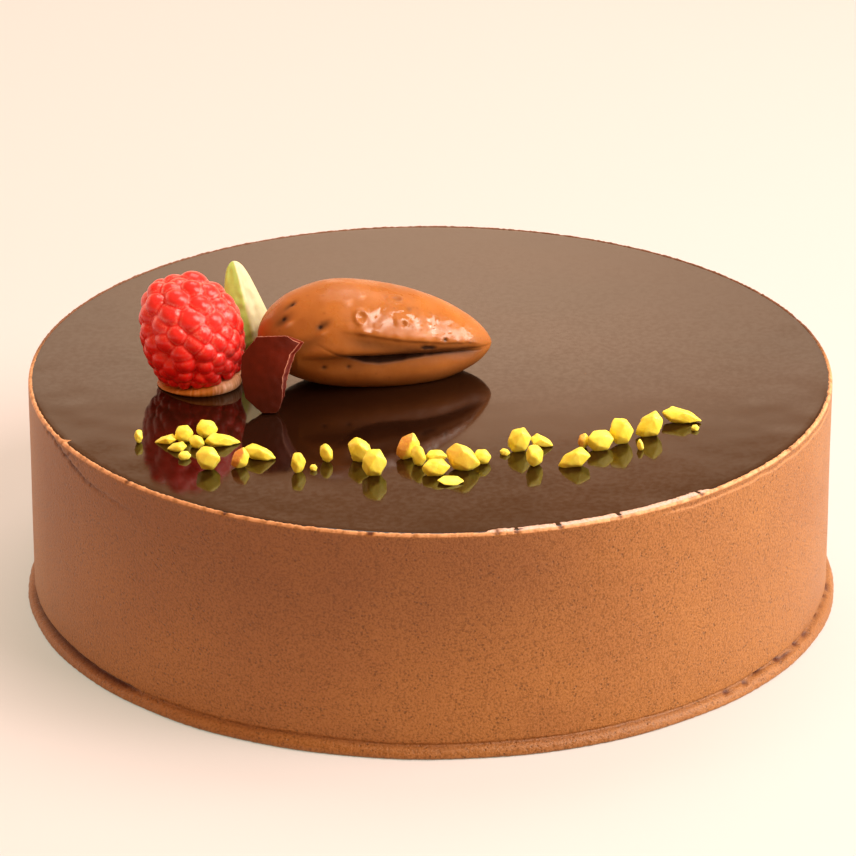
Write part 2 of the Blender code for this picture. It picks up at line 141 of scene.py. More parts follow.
# Quenelle
QUENELLE_LENGTH = 47.0
QUENELLE_RADIUS = 11.5
QUENELLE_FLATNESS = 0.94
QUENELLE_WIDEST_AT = 0.36
QUENELLE_BLUNT_END = Vector((-34.0, -8.0, 56.0))
QUENELLE_YAW = math.radians(11.0)
QUENELLE_TIP_DROP = 4.6
CREASE_DEPTH = 2.3
CREASE_HEIGHT_ANGLE = math.radians(-20.0)
CREASE_WIDTH_ANGLE = math.radians(12.0)
CREASE_SHARP_SIDE = 0.7
CREASE_SLACK_SIDE = 1.5
CREASE_START = 0.14
CREASE_CROWDING = 0.6
QUENELLE_STATIONS = 230
QUENELLE_SIDES = 220

# Marks on the quenelle, by share of its length and degrees aside of the crease. Dents go on with
# width, depth and painted shade (below 0) or painted highlight (above 0), and pits with width and depth.
DARK_SLOT = (
    (0.2, 25.0), (0.22, 23.9), (0.293, 11.1), (0.34, 4.9), (0.38, 0.6), (0.42, -3.4), (0.45, -5.2), (0.48, -6.0),
    (0.52, -5.6), (0.56, -4.4), (0.6, -3.0), (0.68, -0.8), (0.766, 0.2), (0.85, -2.2), (0.936, -7.1))
SLOT_ANGLES = (-40.0, 45.0)
SHORT_SLOT = ((0.649, 15.5), (0.732, 14.0))
GLOSS_RIDGE = ((0.3, 40.0), (0.405, 34.2), (0.5, 29.5), (0.6, 26.0), (0.741, 23.0), (0.893, 21.5), (0.96, 17.0))
GLOSS_PATCH = ((0.43, 44.0), (0.52, 56.0), (0.62, 52.0), (0.74, 42.0), (0.86, 34.0))
QUENELLE_DENTS = (
    (0.125, 88.0, 1.0, 0.3, -0.6), (0.09, 66.0, 1.5, 0.35, -0.75), (0.11, 57.0, 0.7, -0.25, 0.35),
    (0.244, 46.7, 1.2, 0.4, -0.8), (0.24, 38.0, 0.9, -0.25, 0.2), (0.36, 68.0, 0.8, -0.22, 0.25),
    (0.425, 74.0, 0.7, -0.25, 0.35), (0.18, 26.0, 2.2, 0.2, -0.45), (0.07, 80.0, 1.8, 0.15, -0.3),
)
QUENELLE_PITS = (
    (0.249, -10.4, 0.5, 0.22), (0.351, -10.4, 0.45, 0.2), (0.142, 88.0, 0.5, 0.25), (0.234, 45.3, 0.4, 0.2),
    (0.098, 69.7, 0.4, 0.2), (0.766, 24.9, 0.42, 0.5), (0.62, 62.0, 0.5, 0.15), (0.3, 140.0, 0.5, 0.25),
    (0.5, 160.0, 0.45, 0.2), (0.68, 128.0, 0.5, 0.22), (0.42, 118.0, 0.4, 0.2),
)
# Paler colour for the mousse's painted highlights.
MOUSSE_HIGHLIGHT = (0.85, 0.5, 0.33)
OPEN_RING = (0.41, 50.9)
OVAL_RING = (0.571, 74.9)
BROKEN_BUMP = (0.571, 45.3)

# Raspberry and the dab under it
BERRY_FOOT = Vector((-45.5, -6.8, 47.6))
BERRY_LEAN = math.radians(-9.0)
BERRY_TIP_SHIFT = 1.5
BERRY_HEIGHT = 20.5
BERRY_WIDEST = 9.75
BERRY_WIDEST_AT = 0.42
BERRY_FOOT_RADIUS = 7.3
DRUPELET_RADIUS = 2.9
DRUPELET_RISE = 0.72
DRUPELET_COUNT = 132
BERRY_SEED = 3
DAB_RADIUS = 8.4
# The right end of the dab between these angles in degrees gets a streaked painted highlight.
DAB_HIGHLIGHT_ANGLES = (-62.0, -8.0)
GAP = 0.3

# Shard of dark chocolate
SHARD_FOOT = Vector((-31.6, -23.4, 46.1))
SHARD_THICKNESS = 1.1
SHARD_HEIGHT = 15.0
SHARD_LEAN = math.radians(19.0)
SHARD_YAW = math.radians(4.0)
SHARD_BEND = 0.7
SHARD_LEFT_EDGE = ((0.0, -1.2), (0.2, -4.4), (0.5, -5.2), (0.75, -4.9), (1.0, -1.8))
SHARD_RIGHT_EDGE = ((0.0, 1.5), (0.06, 2.3), (0.2, 3.2), (0.5, 4.2), (0.75, 5.6), (0.9, 7.5), (1.0, 4.2))
SHARD_STRIP = 1.1
# Painted light of the shard: a painted highlight along its edges, a brighter painted glint on their outer line, and
# painted shade low down between the two heights in millimetres.
SHARD_EDGE_HIGHLIGHT = (0.22, 0.018, 0.011)
SHARD_EDGE_GLINT = (0.7, 0.36, 0.24)
SHARD_SHADE = (0.02, 0.002, 0.001)
SHARD_SHADE_LEVELS = (46.0, 57.0)
SHARD_ROWS = 60
SHARD_COLUMNS = 36

# Half pistachio kernel
KERNEL_FOOT = Vector((-35.0, 4.9, 46.1))
KERNEL_TOP = Vector((-39.3, 7.4, 66.3))
KERNEL_WIDTH = 10.2
KERNEL_WIDEST_AT = 0.33
KERNEL_THICKNESS = 4.6
KERNEL_FACE_TURN = math.radians(-38.0)
KERNEL_RIDGE = 2.1
KERNEL_STATIONS = 70
KERNEL_SIDES = 64

# Camera of the photograph
CAMERA_TARGET = Vector((-0.47, 0.0, 33.0))
CAMERA_DISTANCE = 1000.0
CAMERA_ELEVATION = math.radians(23.25)
CAMERA_LENS = 209.8
SENSOR_WIDTH = 36.0
CLIP_END = 30.0

# Surroundings: elevations in degrees, half width of the band's brightest part, and what the camera sees
BAND_BRIGHTENS = (21.0, 22.3)
BAND_FADE = (22.6, 23.8)
WALL_TO_CEILING = (28.0, 42.0)
BAND_HALF_WIDTH = 0.07
PLAIN_BACKDROP = (0.97, 0.87, 0.76)
FLOOR_HALF = 6.0

# Lights: name, azimuth and elevation in degrees, distance and size in metres, colour
LIGHTS = (
    ("key", 59.0, 47.0, 0.7, 0.38, (1.0, 0.93, 0.84)),
    ("side", 86.0, 22.0, 0.85, 0.6, (1.0, 0.94, 0.86)),
    ("back", 165.0, 62.0, 0.9, 0.5, (1.0, 0.92, 0.84)),
    ("left", -116.0, 14.0, 1.0, 0.5, (1.0, 0.88, 0.7)),
)


def colour_property(name, description, default):
    """A colour for the sidebar, in linear light."""
    return FloatVectorProperty(
        name=name, description=description, subtype="COLOR", size=3, min=0.0, max=1.0, default=default)


def length_property(name, description, millimetres):
    """A small length for the sidebar, kept in metres."""
    return FloatProperty(name=name, description=description, default=millimetres * MM, unit="LENGTH", precision=6)


def power_property(name, description, default):
    """The power of a light for the sidebar."""
    return FloatProperty(name=name, description=description, default=default, unit="POWER")


class CoatSettings(bpy.types.PropertyGroup):
    """Sizes and colours of the mousse coat."""

    segments: IntProperty(name="Segments", description="Steps round the cake", default=1200, min=96, max=1200)
    rim_unevenness: length_property("Rim unevenness", "How far the thin lip wanders", 0.17)
    foot_pits: length_property("Foot pits", "Depth of the gaps over the ledge", 0.9)
    grain_depth: length_property("Grain depth", "Height of the porous grain", 0.19)
    colour: colour_property("Coat", "Milk chocolate mousse", (0.29, 0.105, 0.01))
    dark_colour: colour_property("Coat, darker", "Darker drifts in the coat", (0.252, 0.085, 0.007))
    # Painted light of the coat: a paler colour for the painted highlight on the lip's thin edge, the ridge and the
    # grain's tops; a painted gleam on the lip at the front right; a dark colour for painted shade in creases, pits,
    # nicks and pores.
    lip_highlight_colour: colour_property("Lip", "Thin edge of the lip where light comes through", (0.74, 0.36, 0.16))
    painted_gleam_colour: colour_property("Gleam", "Wet inner edge of the lip at the front right", (0.66, 0.47, 0.42))
    coat_shade_colour: colour_property("Creases", "Deep creases and pits", (0.09, 0.018, 0.004))


class GlazeSettings(bpy.types.PropertyGroup):
    """Sizes and colours of the mirror glaze."""

    ripple: length_property("Ripple", "Height of the slow waves on the glaze", 0.014)
    colour: colour_property("Glaze", "Dark chocolate under the gloss", (0.014, 0.0045, 0.002))


class ToppingSettings(bpy.types.PropertyGroup):
    """Sizes and colours of the toppings."""

    nut_rounding: length_property("Nut rounding", "Softness of the cut edges", 0.3)
    berry_voxel: length_property("Berry detail", "Fineness of the joined drupelets", 0.18)
    mousse_colour: colour_property("Mousse", "Quenelle", (0.44, 0.152, 0.03))
    # Darker mousse for random drifts, and for painted shade in the slots, pores and dents.
    mousse_drift_and_shade: colour_property("Mousse, darker", "Slots and drifts in the quenelle", (0.21, 0.055, 0.007))
    dab_colour: colour_property("Dab", "Mousse under the raspberry", (0.58, 0.19, 0.018))
    berry_colour: colour_property("Raspberry", "Skin in the light", (0.82, 0.024, 0.02))
    # Painted light of the raspberry: paler rims of the drupelets as painted highlights, and a darker red for painted
    # shade low on the berry and between its drupelets.
    berry_rim_highlight: colour_property("Raspberry, rims", "Paler rims of the drupelets", (0.94, 0.24, 0.19))
    berry_shade: colour_property("Raspberry, darker", "Skin low on the berry and in its creases", (0.7, 0.006, 0.003))
    chocolate_colour: colour_property("Chocolate", "Face of the shard", (0.055, 0.004, 0.0012))
    kernel_flesh: colour_property("Kernel flesh", "Flat cut face", (0.7, 0.67, 0.4))
    kernel_skin: colour_property("Kernel outside", "Domed face", (0.56, 0.85, 0.2))
    nut_colour: colour_property("Chopped nuts", "Yellow green flesh", (0.93, 0.7, 0.008))
    # Paler flesh for random drift and the paler pieces, also used as a painted highlight on the nuts' rounded edges.
    nut_pale_and_highlight: colour_property("Chopped nuts, pale", "Fresh cuts and edges", (0.95, 0.84, 0.12))
    nut_skin: colour_property("Nut skin", "Papery brown skin", (0.66, 0.25, 0.05))


class StageSettings(bpy.types.PropertyGroup):
    """Light, floor and backdrop."""

    floor_colour: colour_property("Floor", "Pale floor", (0.5, 0.39, 0.4))
    floor_glow: colour_property("Floor glow", "Faint light of the floor that keeps its shade pale", (0.25, 0.33, 0.28))
    backdrop_colour: colour_property("Backdrop", "Colour of the bright band behind the cake", (1.0, 0.65, 0.43))
    front_colour: colour_property("Front", "Colour of the surroundings in front of the cake", (1.0, 0.5, 0.2))
    wall_colour: colour_property("Walls", "Colour of the surroundings above the bright band", (1.0, 0.42, 0.17))
    ceiling_colour: colour_property("Ceiling", "Colour of the surroundings overhead", (1.0, 0.58, 0.34))
    backdrop_power: FloatProperty(name="Backdrop", description="Brightness of the band behind the cake", default=2.5)
    front_power: FloatProperty(name="Front", description="Brightness of the band in front of the cake", default=0.7)
    ceiling_power: FloatProperty(name="Ceiling", description="Brightness overhead", default=0.84)
    back_power: power_property("Back light", "Power of the high light behind", 3.3)
    left_power: power_property("Left light", "Power of the low light behind left", 0.9)
    key_power: power_property("Key light", "Power of the high light on the right", 4.2)
    side_power: power_property("Side light", "Power of the low light on the right", 6.8)


# Small mathematics


def waves(seed, counts):
    """A repeatable gentle unevenness of an angle, between about -1 and 1."""
    rng = random.Random(seed)
    terms = [(count, rng.uniform(0.0, TURN)) for count in counts]
    return lambda angle: sum(math.sin(count * angle + phase) for count, phase in terms) / len(terms)


def unevenness(x, y, z=0.0):
    """Smooth repeatable noise at a place, between about -1 and 1."""
    return noise.noise(Vector((x, y, z)))


def through(points, at):
    """Straight-line reading of a short list of (position, value) pairs."""
    if at <= points[0][0]:
        return points[0][1]
    for (start, low), (end, high) in zip(points, points[1:]):
        if at <= end:
            return low + (high - low) * (at - start) / (end - start)
    return points[-1][1]


def smooth_step(low, high, value):
    """0 below low, 1 above high, and a smooth rise between them."""
    share = min(max((value - low) / (high - low), 0.0), 1.0)
    return share * share * (3.0 - 2.0 * share)


def within(angle, limits, soft):
    """1 inside the pair of angles, fading to 0 over the soft width outside them."""
    low, high = limits
    return smooth_step(low - soft, low, angle) * (1.0 - smooth_step(high, high + soft, angle))


def bell(distance, width):
    """A smooth hump of height 1."""
    return math.exp(-((distance / width) ** 2))


def distance_to_line(x, y, points):
    """Distance from a place to a line through points, and the share of the line reached."""
    best = (1e9, 0.0)
    count = len(points) - 1
    for i, ((ax, ay), (bx, by)) in enumerate(zip(points, points[1:])):
        dx, dy = bx - ax, by - ay
        share = min(max(((x - ax) * dx + (y - ay) * dy) / (dx * dx + dy * dy), 0.0), 1.0)
        reach = math.hypot(x - ax - share * dx, y - ay - share * dy)
        best = min(best, (reach, (i + share) / count))
    return best


# Meshes


def finish_piece(name, mesh, material, nodes):
    """Shade the mesh, give it its material, and let it ride with the cake in the nodes' place."""
    mesh.name = name
    mesh.shade_smooth()
    mesh.materials.clear()
    mesh.materials.append(material)
    piece = bpy.data.objects.new(name, mesh)
    bpy.context.scene.collection.objects.link(piece)
    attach(piece, BODY)
    if nodes:
        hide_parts(*nodes)
    return piece


def mesh_from_bmesh(bm):
    """A closed mesh in metres with its faces outwards, from a bmesh in millimetres."""
    bmesh.ops.recalc_face_normals(bm, faces=bm.faces)
    bmesh.ops.scale(bm, vec=(MM, MM, MM), verts=bm.verts)
    mesh = bpy.data.meshes.new("piece")
    bm.to_mesh(mesh)
    bm.free()
    return mesh


def grid_bmesh(rows):
    """Close a stack of point rows, whose first and last hold a single point, into a solid."""
    bm = bmesh.new()
    rim_highlights = [[bm.verts.new(point) for point in row] for row in rows]
    for low, high in zip(rim_highlights, rim_highlights[1:]):
        count = max(len(low), len(high))
        for i in range(count):
            j = (i + 1) % count
            corners = []
            for vert in (low[i % len(low)], low[j % len(low)], high[j % len(high)], high[i % len(high)]):
                if vert not in corners:
                    corners.append(vert)
            bm.faces.new(corners)
    return bm


def set_point_values(mesh, **named_values):
    """Store numbers for each point of the mesh, for its material to read."""
    for name, values in named_values.items():
        layer = mesh.attributes.new(name, "FLOAT", "POINT")
        layer.data.foreach_set("value", values)


# Node trees


def add_node(tree, kind, inputs=None, **settings):
    """Add a node, set its options, and give its inputs values or join them to outputs."""
    node = tree.nodes.new(kind)
    for name, value in settings.items():
        setattr(node, name, value)
    for key, value in (inputs or {}).items():
        if isinstance(value, bpy.types.NodeSocket):
            tree.links.new(value, node.inputs[key])
        else:
            node.inputs[key].default_value = value
    return node


def add_math(tree, operation, *values, clamp=False):
    """Output of a Math node."""
    node = add_node(tree, "ShaderNodeMath", dict(enumerate(values)), operation=operation, use_clamp=clamp)
    return node.outputs[0]


def add_mix(tree, factor, first, second):
    """Output of a colour Mix node."""
    return add_node(tree, "ShaderNodeMix", {0: factor, 6: first, 7: second}, data_type="RGBA").outputs[2]


def add_blend(tree, factor, first, second):
    """Output of a Mix node between two numbers."""
    return add_node(tree, "ShaderNodeMix", {0: factor, 2: first, 3: second}, data_type="FLOAT").outputs[0]


def add_range(tree, value, low, high, to_low=0.0, to_high=1.0):
    """Output of a clamped, smooth Map Range node."""
    inputs = {0: value, 1: low, 2: high, 3: to_low, 4: to_high}
    return add_node(tree, "ShaderNodeMapRange", inputs, interpolation_type="SMOOTHSTEP").outputs[0]


def rgba(colour):
    """A colour with full alpha."""
    return (*colour[:3], 1.0)


def scaled(colour, share):
    """A colour made lighter or darker."""
    return [share * part for part in colour]


def new_group(name, tree_kind, inputs, outputs):
    """An empty node group with named sockets. Returns it, the outputs of its start and the inputs of its end."""
    tree = bpy.data.node_groups.new(name, tree_kind)
    for socket, kind, default in inputs:
        made = tree.interface.new_socket(socket, in_out="INPUT", socket_type="NodeSocket" + kind)
        if default is not None:
            made.default_value = default
    for socket, kind in outputs:
        tree.interface.new_socket(socket, in_out="OUTPUT", socket_type="NodeSocket" + kind)
    return tree, tree.nodes.new("NodeGroupInput").outputs, tree.nodes.new("NodeGroupOutput").inputs


def fine_grain_group():
    """Height and pores of a fine crumbly grain."""
    if "fine_grain" in bpy.data.node_groups:
        return bpy.data.node_groups["fine_grain"]
    tree, start, end = new_group(
        "fine_grain", "ShaderNodeTree",
        [("Vector", "Vector", None), ("Scale", "Float", 1500.0), ("Pores", "Float", 0.2)],
        [("Height", "Float"), ("Pores", "Float")])
    vector, scale, pores = start[:3]
    soft = add_node(tree, "ShaderNodeTexNoise", {"Vector": vector, "Scale": scale, "Detail": 3.0, "Roughness": 0.6})
    wide = add_math(tree, "MULTIPLY", scale, 0.45)
    cells = add_node(tree, "ShaderNodeTexVoronoi", {"Vector": vector, "Scale": wide, "Randomness": 1.0})
    hole = add_range(tree, cells.outputs["Distance"], 0.05, 0.32, 1.0, 0.0)
    broad = add_math(tree, "MULTIPLY", scale, 0.12)
    drift = add_node(tree, "ShaderNodeTexNoise", {"Vector": vector, "Scale": broad, "Detail": 2.0})
    patchy = add_range(tree, drift.outputs[0], 0.45, 0.62)
    hole = add_math(tree, "MULTIPLY", add_math(tree, "MULTIPLY", hole, patchy), pores)
    tree.links.new(add_math(tree, "SUBTRACT", soft.outputs[0], hole), end["Height"])
    tree.links.new(hole, end["Pores"])
    return tree


def colour_drift_group():
    """A colour that wanders between two others."""
    if "colour_drift" in bpy.data.node_groups:
        return bpy.data.node_groups["colour_drift"]
    tree, start, end = new_group(
        "colour_drift", "ShaderNodeTree",
        [("Vector", "Vector", None), ("Scale", "Float", 60.0), ("Spread", "Float", 0.15),
         ("First", "Color", None), ("Second", "Color", None)],
        [("Colour", "Color"), ("Share", "Float")])
    vector, scale, spread, first, second = start[:5]
    drift = add_node(tree, "ShaderNodeTexNoise", {"Vector": vector, "Scale": scale, "Detail": 4.0, "Roughness": 0.55})
    low = add_math(tree, "SUBTRACT", 0.5, spread)
    high = add_math(tree, "ADD", 0.5, spread)
    share = add_range(tree, drift.outputs[0], low, high)
    tree.links.new(add_mix(tree, share, first, second), end["Colour"])
    tree.links.new(share, end["Share"])
    return tree


class Finish:
    """A Principled material that is built up step by step."""

    def __init__(self, name, roughness, **constants):
        self.material = bpy.data.materials.new(name)
        self.material.use_nodes = True
        self.tree = self.material.node_tree
        self.shader = self.tree.nodes["Principled BSDF"]
        self.shader.inputs["Roughness"].default_value = roughness
        for socket, value in constants.items():
            self.shader.inputs[socket.replace("_", " ")].default_value = value
        self.place = add_node(self.tree, "ShaderNodeTexCoord").outputs["Object"]

    def point_value(self, name):
        """A number stored on the piece's points."""
        return add_node(self.tree, "ShaderNodeAttribute", attribute_name=name).outputs["Fac"]

    def grouped(self, group, inputs):
        """A shared node group with its own values here."""
        return add_node(self.tree, "ShaderNodeGroup", inputs, node_tree=group)

    def times(self, value, factor):
        """An output multiplied by a number or by another output."""
        return add_math(self.tree, "MULTIPLY", value, factor)

    def tint(self, colour, mask, strength, other):
        """Lay another colour over this one, by a mask and its strength."""
        share = add_math(self.tree, "MULTIPLY", mask, strength, clamp=True)
        return add_mix(self.tree, share, colour, rgba(other))

    def wander(self, scale, first, second, spread=0.15):
        """Colour that drifts between two others over the surface."""
        return self.grouped(colour_drift_group(), {
            "Vector": self.place, "Scale": scale, "Spread": spread, "First": rgba(first), "Second": rgba(second),
        }).outputs["Colour"]

    def grain(self, scale, pores):
        """Height and pores of the shared grain."""
        node = self.grouped(fine_grain_group(), {"Vector": self.place, "Scale": scale, "Pores": pores})
        return node.outputs["Height"], node.outputs["Pores"]

    def bump(self, height, distance, strength=1.0, normal=None):
        """Bend the normal by a height."""
        inputs = {"Height": height, "Distance": distance, "Strength": strength}
        if normal is not None:
            inputs["Normal"] = normal
        return add_node(self.tree, "ShaderNodeBump", inputs).outputs["Normal"]

    def join(self, socket, value):
        """Join an output to a socket of the shader."""
        self.tree.links.new(value, self.shader.inputs[socket])


def turned_shell_tree():
    """Geometry nodes that turn the piece's own profile points round the Z axis into a closed shell."""
    if "turned_shell" in bpy.data.node_groups:
        return bpy.data.node_groups["turned_shell"]
    tree, start, end = new_group(
        "turned_shell", "GeometryNodeTree",
        [("Geometry", "Geometry", None), ("Segments", "Int", 96), ("Weld", "Float", 0.01 * MM),
         ("Material", "Material", None)],
        [("Geometry", "Geometry")])
    profile, segments, weld, material = start[:4]
    rows = add_node(tree, "GeometryNodeAttributeDomainSize", {"Geometry": profile}).outputs["Point Count"]
    columns = add_math(tree, "ADD", segments, 1.0)
    grid = add_node(tree, "GeometryNodeMeshGrid", {"Vertices X": columns, "Vertices Y": rows}).outputs["Mesh"]
    index = add_node(tree, "GeometryNodeInputIndex").outputs[0]
    row = add_math(tree, "MODULO", index, rows)
    column = add_math(tree, "FLOOR", add_math(tree, "DIVIDE", add_math(tree, "ADD", index, 0.5), rows))
    angle = add_math(tree, "DIVIDE", add_math(tree, "MULTIPLY", column, TURN), segments)
    position = add_node(tree, "GeometryNodeInputPosition").outputs[0]
    sampled = {"Geometry": profile, "Value": position, "Index": row}
    sample = add_node(tree, "GeometryNodeSampleIndex", sampled, data_type="FLOAT_VECTOR").outputs["Value"]
    turned = add_node(
        tree, "ShaderNodeVectorRotate", {"Vector": sample, "Angle": angle}, rotation_type="Z_AXIS").outputs[0]
    shell = add_node(tree, "GeometryNodeSetPosition", {"Geometry": grid, "Position": turned}).outputs[0]
    shell = add_node(tree, "GeometryNodeMergeByDistance", {"Geometry": shell, "Distance": weld}).outputs[0]
    shell = add_node(tree, "GeometryNodeRealizeInstances", {"Geometry": shell}).outputs[0]
    shell = add_node(tree, "GeometryNodeSetMaterial", {"Geometry": shell, "Material": material}).outputs[0]
    tree.links.new(shell, end[0])
    return tree


def drupelets_tree():
    """Geometry nodes that set a drupelet on each point, sized and turned by the point's own values."""
    tree, start, end = new_group(
        "drupelets", "GeometryNodeTree",
        [("Geometry", "Geometry", None), ("Detail", "Int", 4), ("Outward stretch", "Float", 1.0),
         ("Material", "Material", None)],
        [("Geometry", "Geometry")])
    places, detail, stretch, material = start[:4]
    ball = add_node(tree, "GeometryNodeMeshIcoSphere", {"Radius": 1.0, "Subdivisions": detail}).outputs["Mesh"]
    size = add_node(tree, "GeometryNodeInputNamedAttribute", {"Name": "size"}, data_type="FLOAT").outputs[0]
    outward = add_node(
        tree, "GeometryNodeInputNamedAttribute", {"Name": "outward"}, data_type="FLOAT_VECTOR").outputs[0]
    turn = add_node(tree, "FunctionNodeAlignRotationToVector", {"Vector": outward}, axis="Z").outputs[0]
    length = add_math(tree, "MULTIPLY", size, stretch)
    scale = add_node(tree, "ShaderNodeCombineXYZ", {0: size, 1: size, 2: length}).outputs[0]
    set_on = {"Points": places, "Instance": ball, "Rotation": turn, "Scale": scale}
    placed = add_node(tree, "GeometryNodeInstanceOnPoints", set_on).outputs[0]
    placed = add_node(tree, "GeometryNodeRealizeInstances", {"Geometry": placed}).outputs[0]
    placed = add_node(tree, "GeometryNodeSetMaterial", {"Geometry": placed, "Material": material}).outputs[0]
    tree.links.new(placed, end[0])
    return tree


def modified(source_mesh, add_modifiers):
    """The mesh as it is after modifiers, as a plain mesh that takes its place."""
    holder = bpy.data.objects.new("holder", source_mesh)
    bpy.context.scene.collection.objects.link(holder)
    add_modifiers(holder.modifiers)
    evaluated = holder.evaluated_get(bpy.context.evaluated_depsgraph_get())
    mesh = bpy.data.meshes.new_from_object(evaluated)
    bpy.data.objects.remove(holder, do_unlink=True)
    bpy.data.meshes.remove(source_mesh)
    return mesh


def grow(source_mesh, tree, values):
    """Run a geometry node tree on a mesh."""

    def add_nodes(modifiers):
        modifier = modifiers.new("grow", "NODES")
        modifier.node_group = tree
        for item in tree.interface.items_tree:
            if item.in_out == "INPUT" and item.name in values:
                modifier[item.identifier] = values[item.name]

    return modified(source_mesh, add_nodes)


def turned_shell(profile, segments, material):
    """Closed shell in metres, turned from (radius, height) pairs in millimetres."""
    mesh = bpy.data.meshes.new("profile")
    mesh.from_pydata([(radius * MM, 0.0, height * MM) for radius, height in profile], [], [])
    shell = grow(mesh, turned_shell_tree(), {"Segments": segments, "Weld": 0.004 * MM, "Material": material})
    bm = bmesh.new()
    bm.from_mesh(shell)
    bmesh.ops.recalc_face_normals(bm, faces=bm.faces)
    bm.to_mesh(shell)
    bm.free()
    return shell


# Coat


def coat_profile():
    """Profile of the coat from the middle of its underside to the middle of its recess."""
    inner = CAKE_RADIUS - LIP_WIDTH
    lip_start = CAKE_HEIGHT - LIP_WIDTH
    points = [(0.0, 0.0), (0.5 * CAKE_RADIUS, 0.0), (CAKE_RADIUS - 1.5, 0.0)]
    for low, high, rows in ((0.0, FOOT_ZONE, 22), (FOOT_ZONE, MARKED_FROM, 9), (MARKED_FROM, lip_start, 28)):
        points += [(CAKE_RADIUS, low + (high - low) * i / rows) for i in range(rows)]
    points.append((CAKE_RADIUS, lip_start))
    for degrees in range(12, 181, 14):
        angle = math.radians(degrees)
        across = CAKE_RADIUS - 0.5 * LIP_WIDTH * (1.0 - math.cos(angle))
        points.append((across, lip_start + (CAKE_HEIGHT - lip_start) * math.sin(angle) ** 0.7))
    points += [(inner, RECESS_FLOOR), (0.5 * inner, RECESS_FLOOR), (0.0, RECESS_FLOOR)]
    return points


def foot_share(angle):
    """How much of the full ledge stands out at this angle."""
    aside = (angle - FOOT_THIN_AT + math.pi) % TURN - math.pi
    return 1.0 - FOOT_THIN_SHARE * bell(aside, FOOT_THIN_SPREAD)


def foot_pits():
    """Places of the gaps over the ledge: angle in degrees, height, half length and half height."""
    rng = random.Random(FOOT_PIT_SEED)
    low, high = FOOT_PIT_ANGLES
    pits = []
    for i in range(FOOT_PIT_COUNT):
        angle = low + (high - low) * (i + rng.uniform(0.0, 1.0)) / FOOT_PIT_COUNT
        pits.append((angle, rng.uniform(-0.3, 0.35), 0.5 + 2.2 * rng.random() ** 1.7, rng.uniform(0.16, 0.3)))
    return pits


